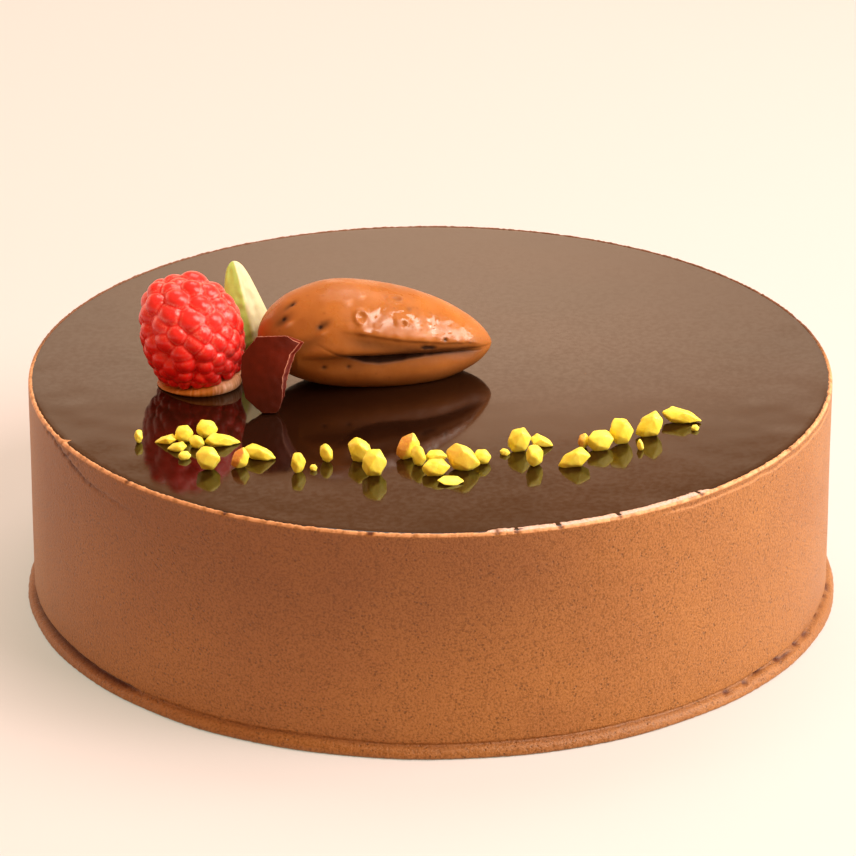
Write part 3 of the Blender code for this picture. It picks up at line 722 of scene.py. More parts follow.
def coat_relief(settings):
    """A function that moves a point of the coat, and gives the painted light and shade of the coat there."""
    foot_waves = waves(12, (4, 7, 13, 23))
    height_waves = waves(14, (3, 8, 15))
    pits = foot_pits()
    rim = settings.rim_unevenness / MM
    pit_depth = settings.foot_pits / MM

    def ledge(radius, z, angle, degrees):
        """Radius of the ledge round the foot, with painted shade in its crease and pits and on the ledge, less of it
        on the right.
        """
        on_right = within(degrees, FOOT_TALLER_ANGLES, 6.0)
        height = FOOT_HEIGHT * (1.0 + 0.12 * height_waves(angle) + 0.12 * on_right)
        bulge = FOOT_BULGE * (foot_share(angle) + 0.12 * foot_waves(angle))
        bulge += 0.12 * unevenness(degrees * 1.3, z * 0.6, 3.0)
        share = z / height
        out = bulge * max(1.0 - share ** 2.6, 0.0) ** 0.75 if share < 1.0 else 0.0
        out -= 0.45 * max(1.0 - share / 0.22, 0.0) ** 2
        wander = 0.16 * unevenness(degrees * 0.7, 5.0)
        crack = within(degrees, FOOT_CRACK_ANGLES, 5.0)
        depth = 0.22 + 0.12 * unevenness(degrees * 0.9, 8.0) + 0.75 * crack
        crease = bell(z - height + wander, 0.3 + 0.14 * crack)
        out -= depth * crease
        # Painted shade in the crease over the ledge, stronger along the crack.
        tone = -crease * (0.3 + 0.7 * crack)
        # Painted shade in the pits.
        for pit_angle, rise, half_length, half_height in pits:
            along = math.radians(degrees - pit_angle) * CAKE_RADIUS
            if abs(along) < 3.0 * half_length:
                dip = bell(along, half_length) * bell(z - height * 0.93 - rise, half_height)
                out -= pit_depth * dip
                tone -= 1.1 * dip
        # Painted shade on the ledge, less of it on the lit right.
        if share < 1.0:
            tone -= 0.18 * (1.0 - 0.5 * on_right)
        return radius + out, tone

    def rim_edge(radius, z, degrees):
        """Radius and height of the thin lip, its painted highlight and painted shade, and its painted gleam."""
        start = radius
        up = smooth_step(CAKE_HEIGHT - LIP_WIDTH, CAKE_HEIGHT - 0.15, z)
        place = Vector((degrees * 1.15, radius * 0.4, 0.0))
        wobble = noise.noise(place) + 0.6 * noise.noise(place * 2.7) + 0.35 * noise.noise(place * 6.1)
        inner = smooth_step(CAKE_RADIUS - 0.35, CAKE_RADIUS - LIP_WIDTH, radius)
        radius -= up * rim * (wobble + 0.5) * (0.35 + 0.9 * inner)
        rough = unevenness(degrees * 1.9, 11.0, radius)
        crumbs = unevenness(degrees * 4.3, 17.0, 2.0 * radius)
        z += up * rim * (0.8 * rough + 0.5 * crumbs - 0.75)
        # Painted highlight in patches along the lip's thin top edge, and painted shade on the lip at the back.
        thin = smooth_step(CAKE_HEIGHT - 0.79, CAKE_HEIGHT - 0.5 + 0.2 * noise.noise(place * 1.7), z)
        broken = smooth_step(-0.5, 0.3, unevenness(degrees * 0.8, 23.0) + 0.7 * crumbs)
        behind = within(degrees, RIM_SHADED_BACK_ANGLES, 16.0)
        tone = thin * (0.3 + 0.7 * broken) * (1.0 - behind) - 0.75 * up * behind
        # Painted gleam on the inner edge of the lip at the front right.
        gleam = within(degrees, RIM_GLEAM_ANGLES, 2.5) * up
        radius -= 1.15 * gleam * inner
        z += 0.3 * gleam * inner ** 2
        gleam *= smooth_step(CAKE_RADIUS - 0.2, CAKE_RADIUS - 0.55, start)
        # Painted shade in the nicks.
        for nick_angle, half, depth in RIM_NICKS:
            cut = bell(degrees - nick_angle, half) * up
            if cut > 0.01:
                z -= 0.5 * depth * cut
                radius -= 0.25 * depth * cut
                tone -= 1.7 * cut
                gleam *= 1.0 - cut
        flick = bell(degrees - RIM_FLICK_ANGLE, 0.35) * up * inner
        radius -= 1.5 * flick
        z += 0.25 * flick
        return radius, z, tone, min(gleam * (1.5 + 0.9 * rough), 1.0)

    def side(radius, z, degrees):
        """Radius of the side, with the patch edge on the left and the ridge on the right, and its painted highlight
        and painted shade.
        """
        out = 0.07 * unevenness(degrees * 0.12, z * 0.05, 1.0)
        out += 0.025 * unevenness(degrees * 0.6, z * 0.5, 2.0)
        tone = 0.0
        if PATCH_EDGE[0][0] - 3.0 < degrees < PATCH_EDGE[-1][0] + 6.0:
            jag = unevenness(degrees * 0.8, 4.0) + 0.6 * unevenness(degrees * 2.1, 14.0)
            line = through(PATCH_EDGE, degrees) + 0.55 * jag
            present = within(degrees, PATCH_ANGLES, 7.0)
            ragged = 1.0 + 0.8 * unevenness(degrees * 1.4, z, 9.0)
            fold = bell(z - line, 0.42) * present * ragged
            strong = 1.0 - 0.75 * smooth_step(212.0, 219.0, degrees)
            out -= 0.26 * fold * (0.5 + strong)
            out += 0.13 * smooth_step(line - 0.5, line + 0.8, z) * present
            # Painted shade in the fold along the patch edge.
            tone -= 0.75 * fold * strong
            # Small dents near the patch edge, with painted shade in them.
            small_dents = smooth_step(0.1, 0.5, unevenness(degrees * 1.7, z * 0.9, 31.0))
            near = bell(z - line - 1.2, 1.6) * within(degrees, PATCH_DENT_ANGLES, 3.0)
            out -= 0.2 * small_dents * near
            tone -= 0.7 * small_dents * near
        ridge = within(degrees, RIM_RIDGE_ANGLES, 5.0)
        if ridge > 0.0:
            level = CAKE_HEIGHT - 1.9 - 0.5 * unevenness(degrees * 0.3, 6.0)
            raised = bell(z - level, 0.3) * ridge
            hollow = bell(z - level - 0.55, 0.3) * ridge
            out += 0.1 * raised - 0.1 * hollow
            # Painted highlight on the ridge and painted shade in the hollow under it.
            tone += 0.4 * raised - 0.3 * hollow
        # Painted shade higher up the side on the front left.
        tone -= 0.42 * smooth_step(6.0, 42.0, z) * within(degrees, SIDE_PAINTED_SHADE_ANGLES, 26.0)
        return radius + out, tone

    def move(x, y, z):
        """Moved place, painted light and shade, and painted gleam of one point, all in millimetres."""
        radius = math.hypot(x, y)
        if radius < CAKE_RADIUS - LIP_WIDTH - 0.1 and z > RECESS_FLOOR - 0.1:
            return x, y, z, 0.0, 0.0
        angle = math.atan2(y, x)
        degrees = math.degrees(angle) % 360.0
        start = radius
        tone = gleam = 0.0
        if radius > CAKE_RADIUS - 0.05 and z < FOOT_ZONE:
            radius, tone = ledge(radius, z, angle, degrees)
        if radius > CAKE_RADIUS - 2.0 and 0.5 < z < CAKE_HEIGHT - 0.2:
            fade = smooth_step(1.0, 6.0, z) * (1.0 - 0.7 * smooth_step(CAKE_HEIGHT - 1.2, CAKE_HEIGHT - 0.4, z))
            moved, mark = side(radius, z, degrees)
            radius += (moved - radius) * fade
            tone += mark * fade
        if z > CAKE_HEIGHT - LIP_WIDTH - 0.01 and start > CAKE_RADIUS - LIP_WIDTH - 0.05:
            radius, z, mark, gleam = rim_edge(radius, z, degrees)
            tone += mark
        grow_by = radius / start if start > 0.0 else 1.0
        return x * grow_by, y * grow_by, z, tone, gleam

    return move


def coat_material(settings):
    """Satin milk chocolate mousse with a porous grain, painted highlights on its lip, ridge and grain tops, painted
    shade in its creases, pits, nicks, pores and grain hollows, and a painted gleam on the lip.
    """
    finish = Finish(
        "mousse_coat", 0.46, Specular_Tint=(1.0, 0.93, 0.85, 1.0), IOR=1.5,
        Sheen_Weight=0.1, Sheen_Roughness=0.4, Sheen_Tint=(1.0, 0.8, 0.62, 1.0))
    tree = finish.tree
    tone = finish.point_value("tone")
    height, pores = finish.grain(2300.0, 0.55)
    colour = finish.wander(45.0, settings.dark_colour, settings.colour)
    # Painted shade in the pores and the grain's hollows, and a painted highlight on the grain's tops; then the points'
    # painted highlights and painted shade, and the painted gleam on the lip.
    colour = finish.tint(colour, pores, 1.2, settings.coat_shade_colour)
    colour = finish.tint(colour, add_range(tree, height, 0.52, 0.32), 0.8, scaled(settings.colour, 0.62))
    colour = finish.tint(colour, add_range(tree, height, 0.3, 0.72), 0.2, settings.lip_highlight_colour)
    colour = finish.tint(colour, tone, 1.0, settings.lip_highlight_colour)
    colour = finish.tint(colour, tone, -1.0, settings.coat_shade_colour)
    gleam = finish.point_value("gleam")
    colour = finish.tint(colour, gleam, add_range(tree, height, 0.34, 0.52, 0.35, 1.0), settings.painted_gleam_colour)
    finish.join("Base Color", colour)
    rough = add_range(tree, height, 0.2, 0.8, 0.4, 0.56)
    finish.join("Roughness", add_math(tree, "SUBTRACT", rough, finish.times(gleam, 0.15)))
    finish.join("Normal", finish.bump(height, settings.grain_depth, 0.9))
    return finish.material


class CAKE_OT_coat(bpy.types.Operator):
    """Turn the mousse coat and model its lip, patch edge and foot"""

    bl_idname = "cake.coat"
    bl_label = "Coat"
    bl_options = {"REGISTER", "UNDO"}

    def execute(self, context):
        settings = context.scene.cake_coat
        material = coat_material(settings)
        mesh = turned_shell(coat_profile(), settings.segments, material)
        move = coat_relief(settings)
        painted_shading_values, gleams = [], []
        for vert in mesh.vertices:
            x, y, z, tone, gleam = move(*(vert.co / MM))
            vert.co = (x * MM, y * MM, z * MM)
            painted_shading_values.append(tone)
            gleams.append(gleam)
        set_point_values(mesh, tone=painted_shading_values, gleam=gleams)
        finish_piece("coat", mesh, material, ["cake_body"])
        return {"FINISHED"}


# Glaze


def glaze_material(settings):
    """Wet dark mirror with slow waves, more of them towards the edge."""
    finish = Finish("mirror_glaze", 0.075, IOR=1.5, Specular_Tint=(1.0, 0.93, 0.86, 1.0))
    tree = finish.tree
    finish.join("Base Color", finish.wander(30.0, settings.colour, scaled(settings.colour, 0.6)))
    out = add_node(tree, "ShaderNodeVectorMath", {0: finish.place}, operation="LENGTH").outputs["Value"]
    edge = add_range(tree, out, 0.066, 0.094, 0.25, 1.0)
    slow = add_node(
        tree, "ShaderNodeTexNoise", {"Vector": finish.place, "Scale": 75.0, "Detail": 1.0, "Roughness": 0.4})
    fine = add_node(tree, "ShaderNodeTexNoise", {"Vector": finish.place, "Scale": 900.0, "Detail": 2.0})
    normal = finish.bump(finish.times(slow.outputs[0], edge), settings.ripple * 4.0, 1.0)
    finish.join("Normal", finish.bump(fine.outputs[0], 0.0006 * MM, 1.0, normal))
    finish.join("Roughness", add_range(tree, fine.outputs[0], 0.3, 0.7, 0.06, 0.1))
    return finish.material


def glaze_profile():
    """Profile of the glaze, whose edge rolls down to the lip."""
    edge = CAKE_RADIUS - LIP_WIDTH + 0.12
    drop, roll = 0.14, 0.55
    points = [(0.0, GLAZE_FLOOR), (0.5 * edge, GLAZE_FLOOR), (edge, GLAZE_FLOOR), (edge, GLAZE_TOP - drop)]
    for degrees in range(15, 91, 15):
        angle = math.radians(degrees)
        points.append((edge - roll * (1.0 - math.cos(angle)), GLAZE_TOP - drop * (1.0 - math.sin(angle))))
    points += [((edge - 1.6) * (1.0 - i / 30), GLAZE_TOP) for i in range(31)]
    return points


def nut_bmesh(nut, rng, rounding):
    """One chopped piece: the part's faceted pebble with soft edges and a crumbly surface."""
    x, y, width, height, turn, point = nut
    depth = min(NUT_DEPTH_SHARE * width, NUT_DEEPEST)
    bm = bmesh.new()
    rim = bm.verts.layers.float.new("rim")
    for i in range(NUT_CORNERS):
        level = 1.0 - 2.0 * (i + 0.5) / NUT_CORNERS
        ring = math.sqrt(1.0 - level * level)
        corner = Vector((ring * math.cos(i * GOLDEN_ANGLE), ring * math.sin(i * GOLDEN_ANGLE), level))
        corner *= rng.uniform(0.84, 1.04)
        narrow = 1.0 - abs(point) * max(corner.x * math.copysign(1.0, point), 0.0)
        rise = 0.5 * (min(max(NUT_CUT * corner.z, -1.0), 1.0) + 1.0) * narrow * (height + NUT_SUNK)
        corner *= NUT_PLUMPNESS
        bm.verts.new((corner.x * width * 0.5, corner.y * narrow * depth * 0.5, NUT_PLUMPNESS * rise - NUT_SUNK))
    hull = bmesh.ops.convex_hull(bm, input=bm.verts)
    bmesh.ops.delete(bm, geom=hull["geom_interior"] + hull["geom_unused"], context="VERTS")
    bmesh.ops.dissolve_limit(bm, angle_limit=math.radians(14.0), verts=bm.verts, edges=bm.edges)
    offset = min(rounding, 0.13 * min(width, height))
    edges_and_corners = list(bm.edges) + list(bm.verts)
    made = bmesh.ops.bevel(
        bm, geom=edges_and_corners, offset=offset, segments=2, profile=0.55, affect="EDGES", clamp_overlap=True)
    for face in made["faces"]:
        for vert in face.verts:
            vert[rim] = 1.0
    bmesh.ops.triangulate(bm, faces=bm.faces)
    for _ in range(2):
        long_edges = [edge for edge in bm.edges if edge.calc_length() > 0.35]
        bmesh.ops.subdivide_edges(bm, edges=long_edges, cuts=1, use_grid_fill=True)
        bmesh.ops.triangulate(bm, faces=bm.faces)
    place = Matrix.Translation((x, y, GLAZE_TOP)) @ Matrix.Rotation(math.radians(turn), 4, "Z")
    bmesh.ops.transform(bm, matrix=place, verts=bm.verts)
    bm.normal_update()
    for vert in bm.verts:
        push = 0.09 * noise.noise(vert.co * 1.1) + 0.045 * noise.noise(vert.co * 3.1)
        vert.co += push * vert.normal
    return bm


def nut_material(settings):
    """Chopped pistachio: yellow flesh, some paler pieces, a painted highlight on the rounded edges, painted shade in
    the pores and a little brown skin.
    """
    finish = Finish(
        "chopped_pistachio", 0.42,
        Subsurface_Weight=0.25, Subsurface_Radius=(1.0, 0.7, 0.15), Subsurface_Scale=0.6 * MM)
    tree = finish.tree
    height, pores = finish.grain(2600.0, 0.5)
    colour = finish.wander(420.0, settings.nut_colour, settings.nut_pale_and_highlight, 0.3)
    # Painted shade in the pores and a painted highlight on the rounded edges.
    pore_shade = [part * share for part, share in zip(settings.nut_colour, NUT_PORE_SHADE_SHARES)]
    colour = finish.tint(colour, pores, 0.7, pore_shade)
    colour = finish.tint(colour, finish.point_value("rim"), 0.4, settings.nut_pale_and_highlight)
    colour = finish.tint(colour, finish.point_value("pale"), 1.0, settings.nut_pale_and_highlight)
    patchy = add_range(tree, height, 0.2, 0.55, 0.6, 1.0)
    colour = finish.tint(colour, finish.point_value("skin"), patchy, settings.nut_skin)
    finish.join("Base Color", colour)
    finish.join("Normal", finish.bump(height, 0.06 * MM, 0.8))
    return finish.material


class CAKE_OT_glaze(bpy.types.Operator):
    """Turn the mirror glaze"""

    bl_idname = "cake.glaze"
    bl_label = "Mirror glaze"
    bl_options = {"REGISTER", "UNDO"}

    def execute(self, context):
        material = glaze_material(context.scene.cake_glaze)
        mesh = turned_shell(glaze_profile(), 360, material)
        finish_piece("glaze_mirror", mesh, material, ["glaze"])
        return {"FINISHED"}


class CAKE_OT_nuts(bpy.types.Operator):
    """Chop the pistachios and lay them in their row on the glaze"""

    bl_idname = "cake.nuts"
    bl_label = "Chopped pistachios"
    bl_options = {"REGISTER", "UNDO"}

    def execute(self, context):
        settings = context.scene.cake_toppings
        rng = random.Random(NUT_SEED)
        joined = bmesh.new()
        skins, pales = [], []
        for number, nut in enumerate(NUTS_LEFT + NUTS_MIDDLE + NUTS_RIGHT + NUT_CRUMBS):
            bm = nut_bmesh(nut, rng, settings.nut_rounding / MM)
            bm.normal_update()
            skin = NUTS_WITH_SKIN.get(number, 0.0)
            for vert in bm.verts:
                facing = smooth_step(0.1, 0.75, vert.normal.dot(Vector((-0.75, -0.55, 0.35))))
                skins.append(skin * facing)
                pales.append(0.75 if number in PALE_NUTS or number >= FIRST_CRUMB else 0.0)
            mesh = bpy.data.meshes.new("nut")
            bm.to_mesh(mesh)
            bm.free()
            joined.from_mesh(mesh)
            bpy.data.meshes.remove(mesh)
        mesh = mesh_from_bmesh(joined)
        set_point_values(mesh, skin=skins, pale=pales)
        piece = finish_piece("chopped_pistachio", mesh, nut_material(settings), ["glaze"])
        piece.data.set_sharp_from_angle(angle=math.radians(48.0))
        return {"FINISHED"}


# Quenelle


def quenelle_outline(along):
    """Blunt left and pointed right outline as a share of the greatest radius."""
    if along < QUENELLE_WIDEST_AT:
        back = 1.0 - along / QUENELLE_WIDEST_AT
        return (1.0 - back ** 1.9) ** 0.54
    onward = (along - QUENELLE_WIDEST_AT) / (1.0 - QUENELLE_WIDEST_AT)
    return (1.0 - onward ** 2.3) ** 0.64


def quenelle_radius(along):
    """Share of the greatest radius at this share of the length, evened out round its widest place."""
    reach = 0.1 * smooth_step(0.02, 0.24, along) * (1.0 - smooth_step(0.5, 0.9, along))
    return sum(quenelle_outline(along + reach * step / 4.0) for step in range(-4, 5)) / 9.0


def slot_marks(along, degrees, here, flat):
    """Relief of the long dark slot and of the short one over it, with painted shade in both."""
    reach, share = distance_to_line(*here, flat(DARK_SLOT))
    ragged = 0.85 + 0.35 * unevenness(along * 30.0, 2.0)
    middle = smooth_step(0.12, 0.34, share) * (1.0 - smooth_step(0.64, 0.88, share))
    depth = ragged * smooth_step(0.0, 0.2, share) * (0.3 + 0.7 * middle)
    depth *= 1.0 - 0.5 * smooth_step(0.82, 1.0, share)
    over = degrees > through(DARK_SLOT, along)
    slot = bell(reach, 0.3 + 0.85 * middle if over else 0.26 + 0.14 * middle)
    shade = bell(reach, 0.45 + 1.15 * middle if over else 0.34 + 0.2 * middle)
    reach, share = distance_to_line(*here, flat(SHORT_SLOT))
    taper = 1.0 - (2.0 * share - 1.0) ** 2
    short = bell(reach, 0.5 + 0.25 * unevenness(along * 60.0, 6.0)) * taper
    return -(0.7 + 0.75 * middle) * slot * depth - 0.3 * short, -1.4 * shade * depth - 0.75 * short


def ridge_marks(along, above):
    """Relief of the ridge under the gloss patch and of the hollow below it, with painted shade in the hollow."""
    present = smooth_step(0.28, 0.42, along) * (1.0 - smooth_step(0.86, 0.97, along))
    ragged = 1.0 + 0.5 * unevenness(along * 26.0, 9.0)
    ridge = bell(above, 1.7 if above > 0.0 else 0.45) * present * ragged
    under = bell(above + 2.3, 1.8) * present
    return 0.42 * ridge - 0.5 * under, -0.6 * under


def dent_marks(offset):
    """Relief of the dents and pits, with painted shade in the pits and sunken dents and a painted highlight on the
    raised dents.
    """
    out = tone = 0.0
    for *mark, width, depth, shade in QUENELLE_DENTS:
        du, dv = offset(mark)
        if abs(du) < 3.0 * width and abs(dv) < 3.0 * width:
            turned_u, turned_v = 0.9 * du + 0.44 * dv, -0.44 * du + 0.9 * dv
            dip = bell(math.hypot(0.8 * turned_u, 1.5 * turned_v), width)
            out -= depth * dip
            tone += shade * dip
    for *mark, width, depth in QUENELLE_PITS:
        dip = bell(math.hypot(*offset(mark)), width)
        out -= depth * dip
        tone -= 0.8 * dip * min(depth / 0.25, 1.3)
    return out, tone


def ring_marks(offset):
    """Relief of the two burst bubbles, which leave rings, and of the broken bump, with painted shade in the oval
    ring's hollow.
    """
    du, dv = offset(OPEN_RING)
    ring = bell(math.hypot(du, 0.9 * dv) - 1.25, 0.42) * smooth_step(-1.6, 0.2, -du + 0.4 * dv)
    out = 0.42 * ring - 0.2 * bell(math.hypot(du, dv), 0.8)
    du, dv = offset(OVAL_RING)
    ring = bell(math.hypot(0.62 * du, 1.1 * dv) - 0.95, 0.3)
    hole = bell(math.hypot(0.6 * du, dv), 0.7)
    out += 0.3 * ring - 0.25 * hole
    du, dv = offset(BROKEN_BUMP)
    out += 0.32 * bell(math.hypot(du + 0.3, 0.8 * dv), 0.75) - 0.35 * bell(math.hypot(du - 0.7, dv + 0.4), 0.4)
    out += 0.2 * bell(math.hypot(du - 1.4, dv - 0.5), 0.6)
    return out, -0.25 * hole


def quenelle_marks(along, aside):
    """Small relief on the quenelle in millimetres outwards, its painted light and shade, and its gloss."""
    degrees = math.degrees(aside)
    local = max(QUENELLE_RADIUS * quenelle_radius(along), 1.0)

    def offset(mark):
        """Distance in millimetres along and round from a mark."""
        return (along - mark[0]) * QUENELLE_LENGTH, math.radians(degrees - mark[1]) * local

    def flat(points):
        """The marks of a line in millimetres along and round."""
        return [(share * QUENELLE_LENGTH, math.radians(turn) * local) for share, turn in points]

    here = along * QUENELLE_LENGTH, aside * local
    marks = [dent_marks(offset), ring_marks(offset)]
    if SLOT_ANGLES[0] < degrees < SLOT_ANGLES[1]:
        above = math.radians(degrees - through(GLOSS_RIDGE, along)) * local
        marks += [slot_marks(along, degrees, here, flat), ridge_marks(along, above)]
    out, tone = (sum(values) for values in zip(*marks))
    gloss = 0.0
    patch = 1.0 - smooth_step(1.4, 3.4, distance_to_line(*here, flat(GLOSS_PATCH))[0])
    if patch > 0.0:
        place = Vector((*here, 0.0))
        out += patch * (0.13 * noise.noise(place * 0.8) + 0.08 * noise.noise(place * 2.0))
        gloss = patch * smooth_step(-0.35, 0.2, noise.noise(place * 0.55))
    return out, tone, gloss


def quenelle_point(along, round_share):
    """A point of the quenelle, its painted light and shade and its gloss, along its length and round its section."""
    turned = TURN * (round_share - 0.5)
    aside = turned - CREASE_CROWDING * math.sin(turned)
    angle = CREASE_HEIGHT_ANGLE * (1.0 - along) + aside
    spread = CREASE_WIDTH_ANGLE * (CREASE_SHARP_SIDE if aside > 0.0 else CREASE_SLACK_SIDE)
    groove = bell(aside, spread)
    fade = math.sin(math.pi * min(max((along - CREASE_START) / (1.0 - CREASE_START), 0.0), 1.0) ** 0.8)
    radius = QUENELLE_RADIUS * quenelle_radius(along) - CREASE_DEPTH * groove * fade
    ends = smooth_step(0.0, 0.04, along) * (1.0 - smooth_step(0.96, 1.0, along))
    relief, tone, gloss = quenelle_marks(along, aside)
    radius += relief * ends
    out = -radius * math.cos(angle)
    up = radius * QUENELLE_FLATNESS * math.sin(angle)
    onward = (along - 0.35) / 0.65
    drop = QUENELLE_TIP_DROP * 0.5 * (onward + math.hypot(onward, 0.14))
    start, course = QUENELLE_BLUNT_END, along * QUENELLE_LENGTH
    cosine, sine = math.cos(QUENELLE_YAW), math.sin(QUENELLE_YAW)
    point = Vector((
        start.x + course * cosine - out * sine, start.y + course * sine + out * cosine, start.z + up - drop))
    swell = 0.1 * noise.noise(point * 0.16) + 0.03 * noise.noise(point * 0.5)
    point.z += ends * swell
    point.y -= ends * swell
    point.z = max(point.z, TOUCHING_LEVEL)
    # Painted shade in the crease and on the underside of the quenelle.
    tone -= 0.35 * groove * fade
    tone -= 0.24 * (1.0 - smooth_step(-0.8, 0.4, math.sin(angle)))
    return point, tone * ends, gloss * ends


def mousse_material(name, light, dark, roughness, scale):
    """Smooth half gloss mousse with painted shade in its slots, creases, dents, pits and pores and painted highlights
    on its raised marks.
    """
    finish = Finish(
        name, roughness, IOR=1.5, Specular_IOR_Level=0.22, Coat_Roughness=0.12,
        Subsurface_Weight=0.12, Subsurface_Radius=(1.0, 0.3, 0.1), Subsurface_Scale=0.8 * MM)
    tree = finish.tree
    tone = finish.point_value("tone")
    height, pores = finish.grain(scale, 0.35)
    colour = finish.wander(120.0, light, [0.4 * a + 0.6 * b for a, b in zip(light, dark)], 0.35)
    # Painted shade in the pores and where the points' stored light and shade is below 0, painted highlight where it is
    # above 0.
    colour = finish.tint(colour, pores, 1.0, dark)
    colour = finish.tint(colour, tone, -0.9, scaled(dark, 0.12))
    colour = finish.tint(colour, tone, 0.9, MOUSSE_HIGHLIGHT)
    finish.join("Base Color", colour)
    lumps = {"Vector": finish.place, "Scale": 330.0, "Detail": 3.0}
    broad = add_node(tree, "ShaderNodeTexNoise", lumps).outputs[0]
    dull = add_range(tree, broad, 0.35, 0.65, roughness - 0.08, roughness + 0.1)
    gloss = finish.point_value("gloss")
    dull = add_math(tree, "SUBTRACT", dull, finish.times(gloss, 0.14))
    finish.join("Roughness", add_math(tree, "SUBTRACT", dull, finish.times(tone, 0.35)))
    finish.join("Coat Weight", finish.times(gloss, 0.9))
    soft = finish.bump(broad, 0.08 * MM, 0.8)
    finish.join("Normal", finish.bump(height, 0.025 * MM, 0.7, soft))
    return finish.material


class CAKE_OT_quenelle(bpy.types.Operator):
    """Model the quenelle of mousse with its long slot, rings and pits"""

    bl_idname = "cake.quenelle"
    bl_label = "Quenelle"
    bl_options = {"REGISTER", "UNDO"}

    def execute(self, context):
        settings = context.scene.cake_toppings
        rows, painted_shading_values, glosses = [], [], []
        for i in range(QUENELLE_STATIONS + 1):
            along = 0.5 - 0.5 * math.cos(math.pi * i / QUENELLE_STATIONS)
            sides = 1 if i in (0, QUENELLE_STATIONS) else QUENELLE_SIDES
            row = [quenelle_point(along, j / QUENELLE_SIDES) for j in range(sides)]
            rows.append([point for point, tone, gloss in row])
            painted_shading_values += [tone for point, tone, gloss in row]
            glosses += [gloss for point, tone, gloss in row]
        mesh = mesh_from_bmesh(grid_bmesh(rows))
        set_point_values(mesh, tone=painted_shading_values, gloss=glosses)
        material = mousse_material("quenelle_mousse", settings.mousse_colour, settings.mousse_drift_and_shade, 0.32, 1400.0)
        finish_piece("quenelle_mousse", mesh, material, ["quenelle"])
        return {"FINISHED"}


# Raspberry and its dab


def berry_core_radius(height):
    """Radius of the raspberry under its drupelets, from its open foot to its round top."""
    share = min(max(height / BERRY_HEIGHT, 0.0), 1.0)
    if share < BERRY_WIDEST_AT:
        drop = (BERRY_WIDEST_AT - share) / BERRY_WIDEST_AT
        return BERRY_WIDEST - (BERRY_WIDEST - BERRY_FOOT_RADIUS) * drop ** 2.0
    onward = (share - BERRY_WIDEST_AT) / (1.0 - BERRY_WIDEST_AT)
    return BERRY_WIDEST * math.sqrt(max(1.0 - onward ** 2.05, 0.0))


def drupelet_places():
    """Centres and radii of the drupelets, wound upwards round the core, finer near the foot."""
    rng = random.Random(BERRY_SEED)
    places = []
    for i in range(DRUPELET_COUNT):
        share = (i + 0.5) / DRUPELET_COUNT
        climb = share ** 1.6
        height = BERRY_HEIGHT * (0.03 + 0.97 * (1.0 - (1.0 - climb) ** 0.74))
        growth = 0.42 + 0.58 * min(climb / 0.45, 1.0)
        size = DRUPELET_RADIUS * growth * rng.uniform(0.8, 1.12)
        rise = DRUPELET_RISE * math.sqrt(growth) * rng.uniform(0.7, 1.2)
        radius = max(berry_core_radius(height) - size + rise, 0.0)
        angle = i * GOLDEN_ANGLE + rng.uniform(-0.16, 0.16)
        top = BERRY_HEIGHT - size + 0.1
        height = min(height + rng.uniform(-0.35, 0.35), top)
        places.append((Vector((radius * math.cos(angle), radius * math.sin(angle), height)), size))
    return places


def berry_material(settings):
    """Soft shiny skin, lit through, with painted shade low on the berry and between its drupelets and painted
    highlights on the drupelets' rims.
    """
    finish = Finish(
        "raspberry_skin", 0.3, IOR=1.4, Specular_IOR_Level=0.3, Coat_Weight=0.48, Coat_Roughness=0.08, Coat_IOR=1.45,
        Subsurface_Weight=0.3, Subsurface_Radius=(1.0, 0.16, 0.12), Subsurface_Scale=0.8 * MM)
    tree = finish.tree
    deep = finish.point_value("deep")
    height = finish.grain(2400.0, 0.3)[0]
    colour = finish.wander(260.0, settings.berry_colour, scaled(settings.berry_colour, 0.8), 0.25)
    # Painted highlights on the drupelets' rims, and painted shade low on the berry and between the drupelets.
    ring = finish.times(finish.point_value("ring"), add_range(tree, height, 0.4, 0.6, 0.25, 1.0))
    colour = finish.tint(colour, ring, 0.45, settings.berry_rim_highlight)
    colour = finish.tint(colour, deep, 1.0, settings.berry_shade)
    finish.join("Base Color", colour)
    finish.join("Roughness", add_range(tree, height, 0.2, 0.8, 0.24, 0.4))
    finish.join("Normal", finish.bump(height, 0.03 * MM, 0.6))
    return finish.material


def berry_mesh(settings, material):
    """The drupelets grown on their places, joined with the core into one skin."""
    places = drupelet_places()
    middle = Vector((0.0, 0.0, BERRY_WIDEST_AT * BERRY_HEIGHT))
    mesh = bpy.data.meshes.new("places")
    mesh.from_pydata([centre * MM for centre, size in places], [], [])
    set_point_values(mesh, size=[size * MM for centre, size in places])
    outward = mesh.attributes.new("outward", "FLOAT_VECTOR", "POINT")
    directions = [(centre - middle).normalized() for centre, size in places]
    outward.data.foreach_set("vector", [part for direction in directions for part in direction])
    grown = grow(mesh, drupelets_tree(), {"Detail": 4, "Outward stretch": 1.0, "Material": material})
    core_heights = (0.0, 2.0, 4.0, 7.0, 10.0, 13.0, 15.5)
    core_rows = [(berry_core_radius(height) - 1.2, 0.3 + height) for height in core_heights]
    core = turned_shell([(0.0, 0.3), *core_rows, (0.0, 17.5)], 48, material)
    joined = bmesh.new()
    joined.from_mesh(grown)
    joined.from_mesh(core)
    joined.to_mesh(grown)
    joined.free()

    def add_skin(modifiers):
        skin = modifiers.new("skin", "REMESH")
        skin.mode = "VOXEL"
        skin.voxel_size = settings.berry_voxel
        soften = modifiers.new("soften", "SMOOTH")
        soften.factor = 0.5
        soften.iterations = 3

    return modified(grown, add_skin), places


